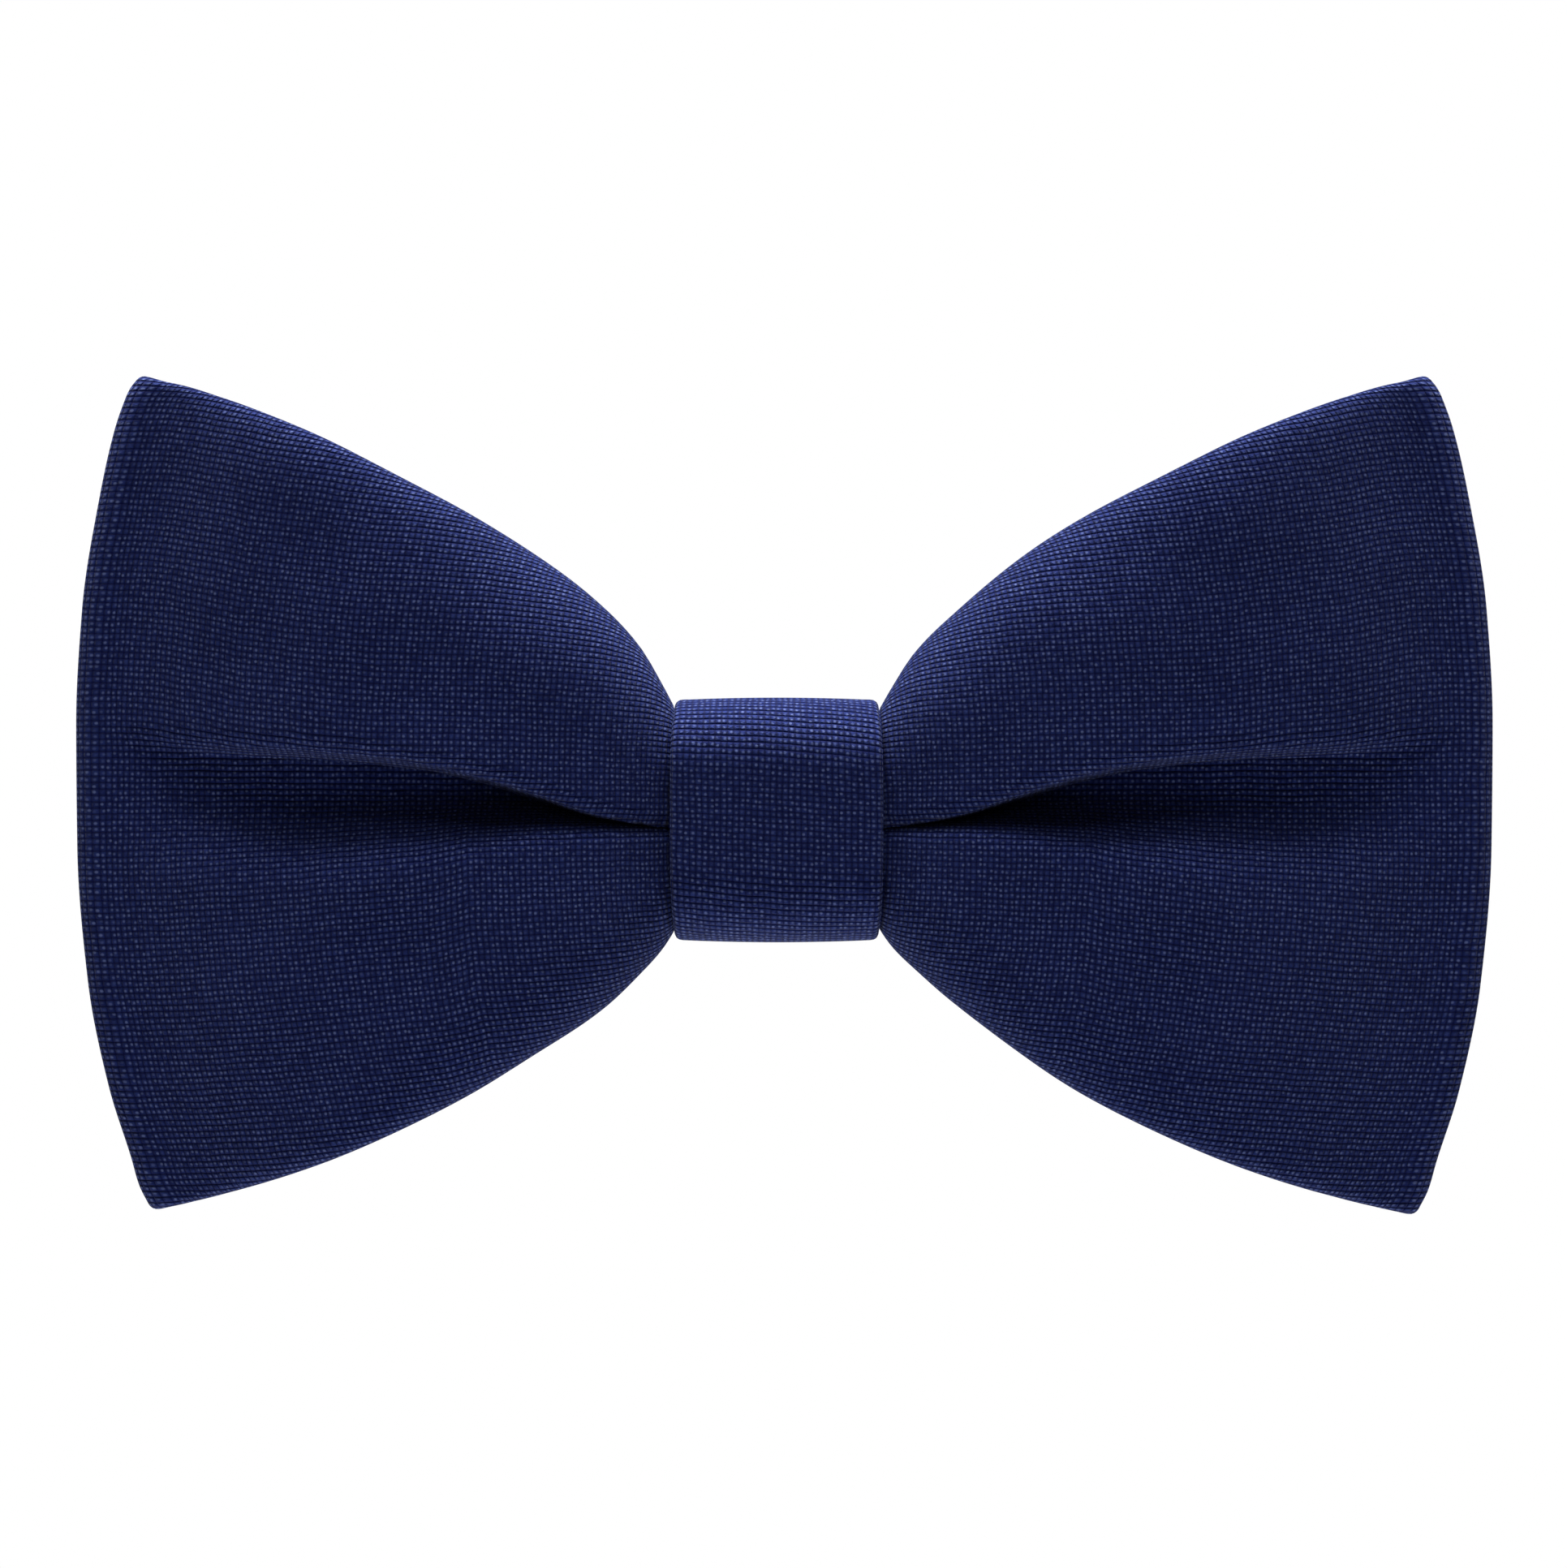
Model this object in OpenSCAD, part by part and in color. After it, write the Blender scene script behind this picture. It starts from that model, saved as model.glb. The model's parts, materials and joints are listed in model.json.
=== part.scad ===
// Pre-tied bow tie on an adjustable two-piece neck band.
// Frame: origin on the neck axis at the height of the knot, +Z up, the bow faces -Y.

/* [Bow] */
// Width of the bow, from fold to fold
bow_w = 120; // [100:1:135]
// Height of the bow at its tips
bow_h = 71; // [62:1:80]
// Thickness of one padded layer of the bow
bow_t = 1.7; // [1.5:0.1:1.9]

/* [Knot] */
// Width of the knot wrap
knot_w = 18; // [16:0.5:22]
// Height of the knot wrap
knot_h = 20.6; // [20:0.1:23]
// Depth of the knot wrap, front to back
knot_d = 18.4; // [17.6:0.1:20]
// Thickness of the knot wrap
knot_t = 1.5; // [1.3:0.1:1.6]

/* [Neck band] */
// Radius of the neck or collar that the band goes around
neck_r = 60; // [56:1:70]
// Width of the band
strap_w = 16; // [14:0.5:17]
// Thickness of the band
strap_t = 1.0; // [0.9:0.05:1.1]
// How far the two straps swing apart when unhooked, for a preview
open_angle = 0; // [0:1:20]

/* [Hardware] */
// Radius of the ring's wire
ring_wire_r = 1.0; // [0.9:0.05:1.1]
// Radius of the hook's strap bar
hook_bar_r = 1.2; // [1.1:0.05:1.25]
// Thickness of the hook's plate and of the slider's frame
plate_t = 1.0; // [0.8:0.1:1.1]
// Angle of the slider along the band, from the bow's side, at rest
slider_at = 132; // [125:1:140]

/* [Hidden] */
$fn = 64;

NAVY = [0.09, 0.11, 0.28];
LINING = [0.85, 0.84, 0.80];
THREAD = [0.06, 0.08, 0.22];
NICKEL = [0.75, 0.75, 0.77];
LABEL = [0.93, 0.92, 0.90];

gap = 0.1;            // air between two layers that lie on each other
ease = 0.3;           // air on each side of the gathering thread
run = 0.1;            // running clearance of a bar in its loop
thread_d = 0.4;       // sewing thread
knot_front_r = 5;     // rounding of the knot's top and bottom edges in front
knot_back_r = 2.5;    // the same behind, where the strap's ends lie flat
kx = bow_w / 120;
kz = bow_h / 71;

// Depths along Y, from the neck outwards
knot_back = -(neck_r + 0.2);
knot_front = knot_back - knot_d;
tab_y = knot_back - knot_t - gap - strap_t / 2;
waist_back = tab_y - strap_t / 2 - thread_d - ease;
waist_front = knot_front + knot_t + thread_d + ease;
bow_y = (waist_back + waist_front) / 2;
waist_depth = (waist_back - waist_front) / 2 - bow_t / 2;
waist_z = knot_h / 2 - knot_t - thread_d - ease - bow_t / 2;
waist_x = knot_w / 2 + 2 * gap;

// ---- The bow: one padded band, folded at both ends and butted at the back ----
fold_r = 1.6;         // radius of the end folds, at the middle of the layer
waist_share = 0.16;   // share of a half layer that lies inside the knot
fold_span = 0.25;     // length of a fold, where a half layer counts 1
seam = 0.3;           // half of the gap between the butted ends

// Height of the edges against distance from the middle
edge_at_waist = 7.2;
top_edge = [[0, edge_at_waist], [9.2, edge_at_waist], [10.4, 10.8], [12.4, 14.6], [16, 18.4], [21, 22.2],
    [29, 27.2], [40, 32.8], [50, 36.6], [54.5, 37.8]];
bottom_edge = [[0, edge_at_waist], [9.2, edge_at_waist], [10.4, 10.6], [12.4, 13.2], [18, 17.6], [24, 21.6],
    [32, 26.0], [40, 29.3], [48, 31.9], [53.5, 33.2]];
// Reach of the end fold against the share of the height
end_reach = [[0, 53.5], [0.1, 55.8], [0.25, 58.3], [0.4, 59.6], [0.55, 60],
    [0.7, 59.6], [0.85, 58.0], [0.95, 55.8], [1, 54.5]];
// Depth of the lobes, of the pleat and of the rolled edges along a wing
front_crest = [[0, 0], [0.08, 0.9], [0.2, 2.2], [0.4, 2.6], [0.6, 1.4], [0.8, -1.0],
    [0.93, -3.1], [1, -4.1]];
back_crest = [[0, 0], [0.1, 0.1], [0.3, 0.2], [0.5, -0.4], [0.8, -2.2], [1, -4.1]];
pleat = [[0, 2.2], [0.1, 4.2], [0.3, 4.6], [0.5, 3.6], [0.7, 2.0], [0.85, 0.8], [1, 0]];
roll = [[0, 2.2], [0.1, 4.2], [0.25, 3.8], [0.45, 2.0], [0.7, 0.8], [1, 0]];
rounding = [[0, 1], [0.15, 0.9], [0.4, 0.45], [0.8, 0.1], [1, 0]];

function lerp(a, b, t) = a + (b - a) * t;
function edge_z(x, edge) = lookup(x / kx, edge) * (x > waist_x ? kz : waist_z / edge_at_waist);
function end_x(s) = lookup(s, end_reach) * kx - fold_r - bow_t / 2;
function pleat_z(t) = 3 * t * kz;
function crease(a, t, scale) =
    pow(cos(180 * a), 2) * scale * lookup(t, a < 0.5 ? pleat : roll);

// A point on the middle of a layer. v runs from the middle of the bow to the end
// fold, s from the bottom edge to the top edge, and face is 1 in front and -1 behind.
function layer_point(v, s, face) =
    let (
        t = max(0, (v - waist_share) / (1 - waist_share)),
        x = v < waist_share ? waist_x * v / waist_share : lerp(waist_x, end_x(s), t),
        xt = v < waist_share ? x : lerp(waist_x, end_x(1), t),
        xb = v < waist_share ? x : lerp(waist_x, end_x(0), t),
        a = abs(2 * s - 1),
        k = lookup(t, rounding),
        rise = lerp(a, sin(90 * a), k),
        z = lerp(pleat_z(t), s > 0.5 ? edge_z(xt, top_edge) : -edge_z(xb, bottom_edge), rise),
        crest = waist_depth + lookup(t, face > 0 ? front_crest : back_crest),
        level = t < 1 ? crest - crease(a, t, face > 0 ? 1 : 0.6) : fold_r
    )
    [x, bow_y - face * max(level, fold_r), z];

// A point on the whole band. p is 0 at the middle of the front, 1 where the end
// fold begins, and 2 + fold_span at the butted ends behind.
function band_point(p, s) =
    let (side = p < 0 ? -1 : 1, q = abs(p))
    let (
        w = q <= 1 ? layer_point(q, s, 1)
            : q >= 1 + fold_span ? layer_point(2 + fold_span - q, s, -1)
            : let (e = layer_point(1, s, 1), turn = 180 * (q - 1) / fold_span)
                [e.x + fold_r * sin(turn), bow_y - fold_r * cos(turn), e.z]
    )
    [side * w.x, w.y, w.z];

step = 0.01;
function unit(v) = v / norm(v);
function band_normal(p, s) =
    let (
        along = band_point(p + step, s) - band_point(p - step, s),
        across = band_point(p, min(1, s + step)) - band_point(p, max(0, s - step))
    )
    unit(cross(across, along));

// The face of the band at distance half from its middle, from the bottom edge to the
// top edge. inset is the share of the first and last facet that is left out.
across_steps = 10;
function face_row(p, half, inset) =
    let (
        row = [for (j = [0:across_steps]) let (s = j / across_steps)
            band_point(p, s) + half * band_normal(p, s)],
        n = across_steps
    )
    [for (j = [0:n]) j == 0 ? lerp(row[0], row[1], inset)
        : j == n ? lerp(row[n], row[n - 1], inset) : row[j]];
function reversed(list) = [for (j = [len(list) - 1:-1:0]) list[j]];
function band_loop(p, half, inset) =
    concat(face_row(p, half, inset), reversed(face_row(p, -half, inset)));

// Where along the band the sections stand: closer at the waist and at the folds
half_stations = [0, 0.1, 0.15, 0.175, 0.21, 0.26, 0.36, 0.48, 0.61, 0.74, 0.86, 1];
fold_stations = [1 + fold_span / 3, 1 + 2 * fold_span / 3];
function stations(trim) =
    let (
        behind = [for (v = half_stations) if (v > 0) 2 + fold_span - v],
        end = 2 + fold_span - trim,
        right = concat([for (v = half_stations) if (v > 0) v], fold_stations,
            [for (i = [len(behind) - 1:-1:0]) behind[i]], [end])
    )
    concat([for (i = [len(right) - 1:-1:0]) -right[i]], [0], right);

function band_loops(half, inset, trim) = [for (p = stations(trim)) band_loop(p, half, inset)];

// Triangles between n loops of m points each, numbered from first. The two faces of
// the band are split along the same diagonals.
function split(a, b, c, d) = [[a, b, c], [a, c, d]];
function loop_sides(n, m, first, inward) =
    [for (i = [0:n - 2], j = [0:m - 1])
        let (a = first + i * m + j, b = first + i * m + (j + 1) % m, near = j < m / 2)
        each inward ? (near ? split(a, b, b + m, a + m) : split(b, b + m, a + m, a))
            : (near ? split(a, a + m, b + m, b) : split(b, a, a + m, b + m))];

// A solid flat bar through the loops
module loop_bar(loops) {
    n = len(loops);
    m = len(loops[0]);
    last = (n - 1) * m;
    caps = [for (j = [0:m / 2 - 2])
        let (c = m - 1 - j)
        each [[j, c - 1, c], [j, j + 1, c - 1],
            [last + j, last + c - 1, last + j + 1], [last + j, last + c, last + c - 1]]];
    polyhedron([for (l = loops) each l], concat(loop_sides(n, m, 0, false), caps));
}

// A flat tube between the outer and the inner loops, open at both ends
module loop_tube(outer, inner) {
    n = len(outer);
    m = len(outer[0]);
    inside = n * m;
    last = (n - 1) * m;
    rims = [for (j = [0:m - 1])
        let (k = (j + 1) % m)
        each [[j, inside + k, inside + j], [j, k, inside + k],
            [last + j, inside + last + k, last + k],
            [last + j, inside + last + j, inside + last + k]]];
    polyhedron([for (l = concat(outer, inner)) each l],
        concat(loop_sides(n, m, 0, false), loop_sides(n, m, inside, true), rims));
}

seam_v = waist_share * seam / waist_x;
core_half = 0.25;     // half the thickness of the bow's interlining
cavity_inset = 0.5;   // shares of an edge facet that the cavity and its core stay inside
core_inset = 0.6;

module bow_shell() {
    color(NAVY)
        loop_tube(band_loops(bow_t / 2, 0, seam_v),
            band_loops(core_half + gap, cavity_inset, seam_v));
}

module bow_interlining() {
    color(LINING)
        loop_bar(band_loops(core_half, core_inset, 3 * seam_v));
}

// ---- The knot ----
// One side of the knot's outline, from the middle to +X, with its corners rounded
module outline_half(w, h, r) {
    translate([-0.01, -h])
        square([w - r + 0.01, 2 * h]);
    translate([0, r - h])
        square([w, 2 * (h - r)]);
    for (side = [-1, 1])
        translate([w - r, side * (h - r)])
            circle(r);
}

// The knot's outline, seen along the bow. inset is measured inwards from its surface.
module knot_outline(inset) {
    w = knot_d / 2 - inset;
    h = knot_h / 2 - inset;
    outline_half(w, h, knot_back_r - inset);
    mirror([1, 0])
        outline_half(w, h, knot_front_r - inset);
}

// A tube along X around the waist, between two insets
module knot_tube(inset_out, inset_in, length) {
    translate([-length / 2, (knot_back + knot_front) / 2, 0])
        rotate([90, 0, 90])
            linear_extrude(length)
                difference() {
                    knot_outline(inset_out);
                    knot_outline(inset_in);
                }
}

knot_skin = 0.45;     // fabric on each side of the knot's interlining

module knot_wrap() {
    color(NAVY)
        difference() {
            knot_tube(0, knot_t, knot_w);
            knot_tube(knot_skin, knot_t - knot_skin, knot_w - 1);
        }
}

module knot_interlining() {
    color(LINING)
        knot_tube(knot_skin + 0.05, knot_t - knot_skin - 0.05, knot_w - 1.4);
}

module rounded_rect(w, h, r) {
    square([w, h - 2 * r], center = true);
    square([w - 2 * r, h], center = true);
    for (x = [-1, 1], y = [-1, 1])
        translate([x * (w / 2 - r), y * (h / 2 - r)])
            circle(r);
}

// Turns of thread that gather the waist under the knot
module gather_thread() {
    inner_d = 2 * waist_depth + bow_t + ease;
    inner_h = 2 * waist_z + bow_t + ease;
    corner = knot_front_r - knot_t - thread_d - ease;
    color(THREAD)
        for (i = [-2:2])
            translate([i * 1.6 - thread_d / 2, bow_y, 0])
                rotate([90, 0, 90])
                    linear_extrude(thread_d)
                        difference() {
                            rounded_rect(inner_d + 2 * thread_d, inner_h + 2 * thread_d,
                                corner + thread_d);
                            rounded_rect(inner_d, inner_h, corner);
                        }
}

// Whip stitches over the butted ends, in the valley of the back pleat
module bow_back_seam() {
    seam_y = band_point(2 + fold_span, 0.5).y + bow_t / 2 + 2 * gap;
    color(THREAD)
        for (i = [-1:1])
            translate([-1.5, seam_y + thread_d / 2, i * 0.7])
                rotate([0, 90, 0])
                    cylinder(h = 3, d = thread_d, $fn = 16);
}

// Ladder stitches that close the wrap, along its lower back edge
module knot_back_stitches() {
    count = 7;
    pitch = 2.2;
    reach = knot_back_r + gap / 2 + thread_d / 2;
    color(THREAD)
        for (i = [0:count - 1])
            translate([(i - (count - 1) / 2) * pitch, knot_back - knot_back_r, knot_back_r - knot_h / 2])
                rotate([-45, 0, 0])
                    translate([0, reach, 0])
                        cylinder(h = 1, d = thread_d, center = true, $fn = 16);
}

// ---- The neck band ----
// Layers of the right strap where it runs double
inner_r = neck_r;
slider_bar_r = 0.7;
slider_bar_at = neck_r + strap_t + run + slider_bar_r;
outer_r = slider_bar_at + slider_bar_r + run + strap_t + gap;
hook_bar_at = (inner_r + outer_r + strap_t) / 2;
hook_loop_r = (outer_r + strap_t - inner_r) / 2;

hinge_x = knot_w / 2 + 1.2;
strap_mid = neck_r + strap_t / 2;
hinge_far = norm([hinge_x, tab_y]);
hinge_polar = atan2(hinge_x, -tab_y);
contact = hinge_polar + acos(strap_mid / hinge_far);
straight = sqrt(hinge_far * hinge_far - strap_mid * strap_mid);

left_end = 166;       // angle of the ring's bar
right_end = 168;      // angle of the hook's bar
ring_bar_at = neck_r + strap_t + run + ring_wire_r;
ring_loop_r = strap_t + run + ring_wire_r;

core_t = 0.36;        // thickness of the strap's interlining
shy = 0.02;           // how far a joining shape stays inside the faces that it joins
lap = 0.4;            // how far it runs into them, in mm or degrees
core_w = strap_w - 2;

// A point at radius r and angle a from the front, on the right side
function polar(r, a) = [r * sin(a), -r * cos(a)];

// Part of a flat ring around the neck, from angle a0 to angle a1, at most 170 apart
module arc_2d(r0, r1, a0, a1) {
    far = 3 * r1;
    mid = (a0 + a1) / 2;
    intersection() {
        difference() {
            circle(r1, $fn = 180);
            circle(r0, $fn = 180);
        }
        polygon([[0, 0], polar(far, a0), polar(far, (a0 + mid) / 2), polar(far, mid),
            polar(far, (a1 + mid) / 2), polar(far, a1)]);
    }
}

module place(r, a) {
    translate(polar(r, a))
        rotate(a)
            children();
}

// The straight stretch from the knot to where the strap meets the neck
module lead_2d(half, start) {
    translate(polar(strap_mid, contact))
        rotate(contact)
            translate([start - straight, shy - half])
                square([straight - start + lap, 2 * (half - shy)]);
}

module strap_extrude(width) {
    translate([0, 0, -width / 2])
        linear_extrude(width)
            children();
}

module mirrored(side) {
    if (side < 0)
        mirror([1, 0, 0])
            children();
    else
        children();
}

// The end of a strap inside the knot, with its round edge on the flex line
module strap_tab(side) {
    color(NAVY)
        mirrored(side)
            strap_extrude(strap_w) {
                translate([1, tab_y - strap_t / 2])
                    square([hinge_x - 1, strap_t]);
                translate([hinge_x, tab_y])
                    circle(strap_t / 2, $fn = 32);
            }
}

module left_strap_tab() {
    strap_tab(-1);
}

module right_strap_tab() {
    strap_tab(1);
}

// Rows of running stitches that hold the tabs in the knot, pressed flat on them
module tab_stitches() {
    length = 1.2;
    flat = 0.06;
    color(THREAD)
        for (side = [-1, 1], i = [-3:3])
            translate([side * 6 - thread_d / 2, tab_y + strap_t / 2 + 0.02, 2 * i - length / 2])
                cube([thread_d, flat, length]);
}

flex_gap = strap_t / 2 + 0.15;   // from the flex line to the moving strap

module left_strap_2d() {
    fold_len = 9;     // degrees of the sewn-back end
    difference() {
        union() {
            lead_2d(strap_t / 2, flex_gap);
            arc_2d(neck_r, neck_r + strap_t, contact, left_end);
            arc_2d(neck_r + strap_t - 0.05, neck_r + 2 * strap_t + 0.4, left_end - fold_len, left_end);
            place(ring_bar_at, left_end)
                circle(ring_loop_r - shy);
        }
        place(ring_bar_at, left_end)
            circle(ring_wire_r + run);
    }
}

module left_strap() {
    color(NAVY)
        mirror([1, 0, 0])
            difference() {
                strap_extrude(strap_w)
                    left_strap_2d();
                strap_extrude(core_w + 2 * gap)
                    core_2d(core_t / 2 + 0.06, contact + 1, left_end - 12);
            }
}

module core_2d(half, a0, a1) {
    arc_2d(strap_mid - half, strap_mid + half, a0, a1);
}

module left_strap_core() {
    color(LINING)
        mirror([1, 0, 0])
            strap_extrude(core_w)
                core_2d(core_t / 2, contact + 1.3, left_end - 12.3);
}

// Short threads side by side across a strap, standing just off radius r
module bartack(r, a, count, pitch) {
    for (i = [0:count - 1])
        rotate([0, 0, a])
            translate([0, -(r + gap / 2 + thread_d / 2), (i - (count - 1) / 2) * pitch])
                rotate([0, 90, 0])
                    cylinder(h = 2.4, d = thread_d, center = true, $fn = 16);
}

module left_end_bartack() {
    color(THREAD)
        mirror([1, 0, 0])
            bartack(neck_r + 2 * strap_t + 0.4, left_end - 5.5, 13, 1.1);
}

module blank_label() {
    color(LABEL)
        mirror([1, 0, 0])
            strap_extrude(10)
                arc_2d(neck_r + strap_t + gap / 2, neck_r + strap_t + 0.45, 62, 78);
}

// ---- Hardware ----
ring_inner_w = 7;     // opening along the band
ring_inner_h = strap_w + 1.2;

// A round wire bent to a rectangle: its near bar is on the Z axis, the far one at +X
module wire_frame(r, inner_w, inner_h) {
    w = inner_w + 2 * r;
    h = inner_h / 2 + r;
    for (x = [0, w])
        translate([x, 0, -h])
            cylinder(h = 2 * h, r = r, $fn = 32);
    for (z = [-h, h])
        translate([0, 0, z])
            rotate([0, 90, 0])
                cylinder(h = w, r = r, $fn = 32);
    for (x = [0, w], z = [-h, h])
        translate([x, 0, z])
            sphere(r = r, $fn = 32);
}

module at_band(r, a) {
    rotate([0, 0, a])
        translate([0, -r, 0])
            children();
}

module ring() {
    color(NICKEL)
        mirror([1, 0, 0])
            at_band(ring_bar_at, left_end)
                wire_frame(ring_wire_r, ring_inner_w, ring_inner_h);
}

hook_arm = 5;         // from the hook's strap bar to its plate
hook_plate = 3;       // length of the plate along the band
hook_tongue_w = 9;
hook_tongue = 4;      // straight length of the tongue beyond the plate
hook_curl = 1.6;      // inner radius of the tongue's turned end
hook_return = 3.6;    // length of the turned-back tip

// The hook lies along +X from its strap bar, and its tongue turns back outside
module hook_body() {
    h = strap_w / 2 + 1.6;
    t = plate_t;
    tip_x = hook_arm + hook_plate + hook_tongue;
    translate([0, 0, -h])
        cylinder(h = 2 * h, r = hook_bar_r, $fn = 32);
    for (side = [-1, 1])
        translate([0, -t / 2, side * (h - 0.7) - 0.7])
            cube([hook_arm + 0.5, t, 1.4]);
    translate([hook_arm, -t / 2, -h])
        cube([hook_plate, t, 2 * h]);
    translate([hook_arm + hook_plate - 0.5, -t / 2, -hook_tongue_w / 2])
        cube([hook_tongue + 0.5, t, hook_tongue_w]);
    translate([tip_x, -t / 2 - hook_curl, 0])
        difference() {
            cylinder(h = hook_tongue_w, r = hook_curl + t, center = true);
            cylinder(h = hook_tongue_w + 1, r = hook_curl, center = true);
            translate([-2 * hook_curl - t, -hook_curl - t - 1, -hook_tongue_w])
                cube([2 * hook_curl + t, 2 * (hook_curl + t + 1), 2 * hook_tongue_w]);
        }
    translate([tip_x - hook_return, -t / 2 - 2 * hook_curl - t, -hook_tongue_w / 2])
        cube([hook_return, t, hook_tongue_w]);
}

module hook() {
    color(NICKEL)
        at_band(hook_bar_at, right_end)
            hook_body();
}

// ---- The right strap: single from the knot, double from the slider to the hook ----
ramp_from = 84;       // where the running layer leaves the neck
ramp_to = 96;         // where it has reached its outer radius

module ramp_2d(half) {
    steps = 6;
    function ramp_r(i) = lerp(neck_r, outer_r, (1 - cos(180 * i / steps)) / 2) + strap_t / 2;
    function ramp_a(i) = lerp(ramp_from, ramp_to, i / steps);
    polygon(concat(
        [for (i = [0:steps]) polar(ramp_r(i) + half - shy, ramp_a(i))],
        [for (i = [steps:-1:0]) polar(ramp_r(i) - half + shy, ramp_a(i))]
    ));
}

module running_2d(half, a0, a1) {
    mid = strap_t / 2;
    arc_2d(neck_r + mid - half, neck_r + mid + half, a0, ramp_from + lap);
    ramp_2d(half);
    arc_2d(outer_r + mid - half, outer_r + mid + half, ramp_to - lap, a1);
}

module right_strap() {
    color(NAVY)
        difference() {
            strap_extrude(strap_w)
                difference() {
                    union() {
                        lead_2d(strap_t / 2, flex_gap);
                        running_2d(strap_t / 2, contact, right_end);
                        arc_2d(neck_r, neck_r + strap_t, right_end - 6, right_end);
                        place(hook_bar_at, right_end)
                            intersection() {
                                circle(hook_loop_r - shy);
                                translate([-lap, -10])
                                    square(20);
                            }
                    }
                    place(hook_bar_at, right_end)
                        circle(hook_bar_r + run);
                }
            strap_extrude(core_w + 2 * gap)
                running_2d(core_t / 2 + 0.06, contact + 1, right_end - 4);
        }
}

module right_strap_core() {
    color(LINING)
        strap_extrude(core_w)
            running_2d(core_t / 2, contact + 1.3, right_end - 4.3);
}

loop_len = 5;         // degrees of sewn tail behind the slider's loop

// The layer between the slider's loop and the hook, which changes its length
module adjuster_return() {
    color(NAVY)
        strap_extrude(strap_w)
            arc_2d(neck_r, neck_r + strap_t, slider_at + loop_len + 0.3, right_end - 6.2);
}

module right_end_bartack() {
    color(THREAD)
        bartack(outer_r + strap_t, right_end - 3.4, 13, 1.1);
}

slider_h = strap_w + 4;
slider_w = 13;
slider_rail = 1.6;    // width of the slider's rails

// The side bars cross outside the running layer, and the middle bar inside it
module slider_frame() {
    bar_out = outer_r + strap_t + gap;
    drop = bar_out + plate_t - slider_bar_at;
    color(NICKEL)
        at_band(bar_out, slider_at) {
            for (side = [-1, 1]) {
                translate([side * (slider_w / 2 - 1) - 1, -plate_t - 0.3, -slider_h / 2])
                    cube([2, plate_t, slider_h]);
                translate([-slider_w / 2, -plate_t - 0.3, side * (slider_h / 2 - slider_rail / 2)
                    - slider_rail / 2])
                    cube([slider_w, plate_t, slider_rail]);
                translate([-1, -plate_t - 0.3, side * (slider_h / 2 - slider_rail / 2)
                    - slider_rail / 2])
                    cube([2, drop + slider_bar_r + 0.1, slider_rail]);
            }
            translate([0, bar_out - slider_bar_at, -slider_h / 2 + 0.2])
                cylinder(h = slider_h - 0.4, r = slider_bar_r, $fn = 32);
        }
}

// The end of the strap, sewn around the slider's middle bar
module adjuster_loop() {
    color(NAVY)
        strap_extrude(strap_w)
            difference() {
                union() {
                    place(slider_bar_at, slider_at)
                        circle(slider_bar_r + run + strap_t - shy, $fn = 48);
                    arc_2d(neck_r, neck_r + strap_t, slider_at, slider_at + loop_len);
                    arc_2d(neck_r + strap_t - 0.05, neck_r + 2 * strap_t, slider_at + 1,
                        slider_at + loop_len - 0.5);
                }
                place(slider_bar_at, slider_at)
                    circle(slider_bar_r + run, $fn = 48);
            }
}

module adjuster_bartack() {
    color(THREAD)
        bartack(neck_r + 2 * strap_t, slider_at + loop_len - 1.9, 13, 1.1);
}

// The straps and what they carry swing about the flex lines beside the knot
module swung(side) {
    translate([side * hinge_x, tab_y, 0])
        rotate([0, 0, -side * open_angle])
            translate([-side * hinge_x, -tab_y, 0])
                children();
}

bow_shell();
bow_interlining();
gather_thread();
bow_back_seam();
knot_wrap();
knot_interlining();
knot_back_stitches();
left_strap_tab();
right_strap_tab();
tab_stitches();
swung(-1) left_strap();
swung(-1) left_strap_core();
swung(-1) left_end_bartack();
swung(-1) blank_label();
swung(-1) ring();
swung(1) right_strap();
swung(1) right_strap_core();
swung(1) adjuster_return();
swung(1) right_end_bartack();
swung(1) slider_frame();
swung(1) adjuster_loop();
swung(1) adjuster_bartack();
swung(1) hook();
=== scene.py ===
import json
import math

import bpy
import numpy as np
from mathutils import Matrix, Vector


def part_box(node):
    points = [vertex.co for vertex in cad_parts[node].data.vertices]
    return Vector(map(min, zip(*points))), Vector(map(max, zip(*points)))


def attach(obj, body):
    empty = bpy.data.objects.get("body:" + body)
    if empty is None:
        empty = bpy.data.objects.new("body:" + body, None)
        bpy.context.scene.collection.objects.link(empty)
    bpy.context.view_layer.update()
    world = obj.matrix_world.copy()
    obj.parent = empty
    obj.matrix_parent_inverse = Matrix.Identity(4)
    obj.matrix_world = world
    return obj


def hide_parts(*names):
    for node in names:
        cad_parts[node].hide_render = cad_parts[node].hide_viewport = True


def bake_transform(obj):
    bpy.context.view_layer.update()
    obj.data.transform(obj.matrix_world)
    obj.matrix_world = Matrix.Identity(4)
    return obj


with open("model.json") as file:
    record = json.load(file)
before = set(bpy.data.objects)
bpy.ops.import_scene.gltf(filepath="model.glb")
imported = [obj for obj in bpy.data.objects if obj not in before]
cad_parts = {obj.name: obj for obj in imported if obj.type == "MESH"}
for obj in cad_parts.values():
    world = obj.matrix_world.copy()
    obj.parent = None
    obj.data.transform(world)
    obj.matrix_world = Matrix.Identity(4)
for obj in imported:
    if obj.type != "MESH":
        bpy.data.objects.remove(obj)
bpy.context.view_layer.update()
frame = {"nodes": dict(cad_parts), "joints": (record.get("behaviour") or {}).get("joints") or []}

# The shapes below are worked out in millimetres and become metres in add_mesh().
MM = 0.001


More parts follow.
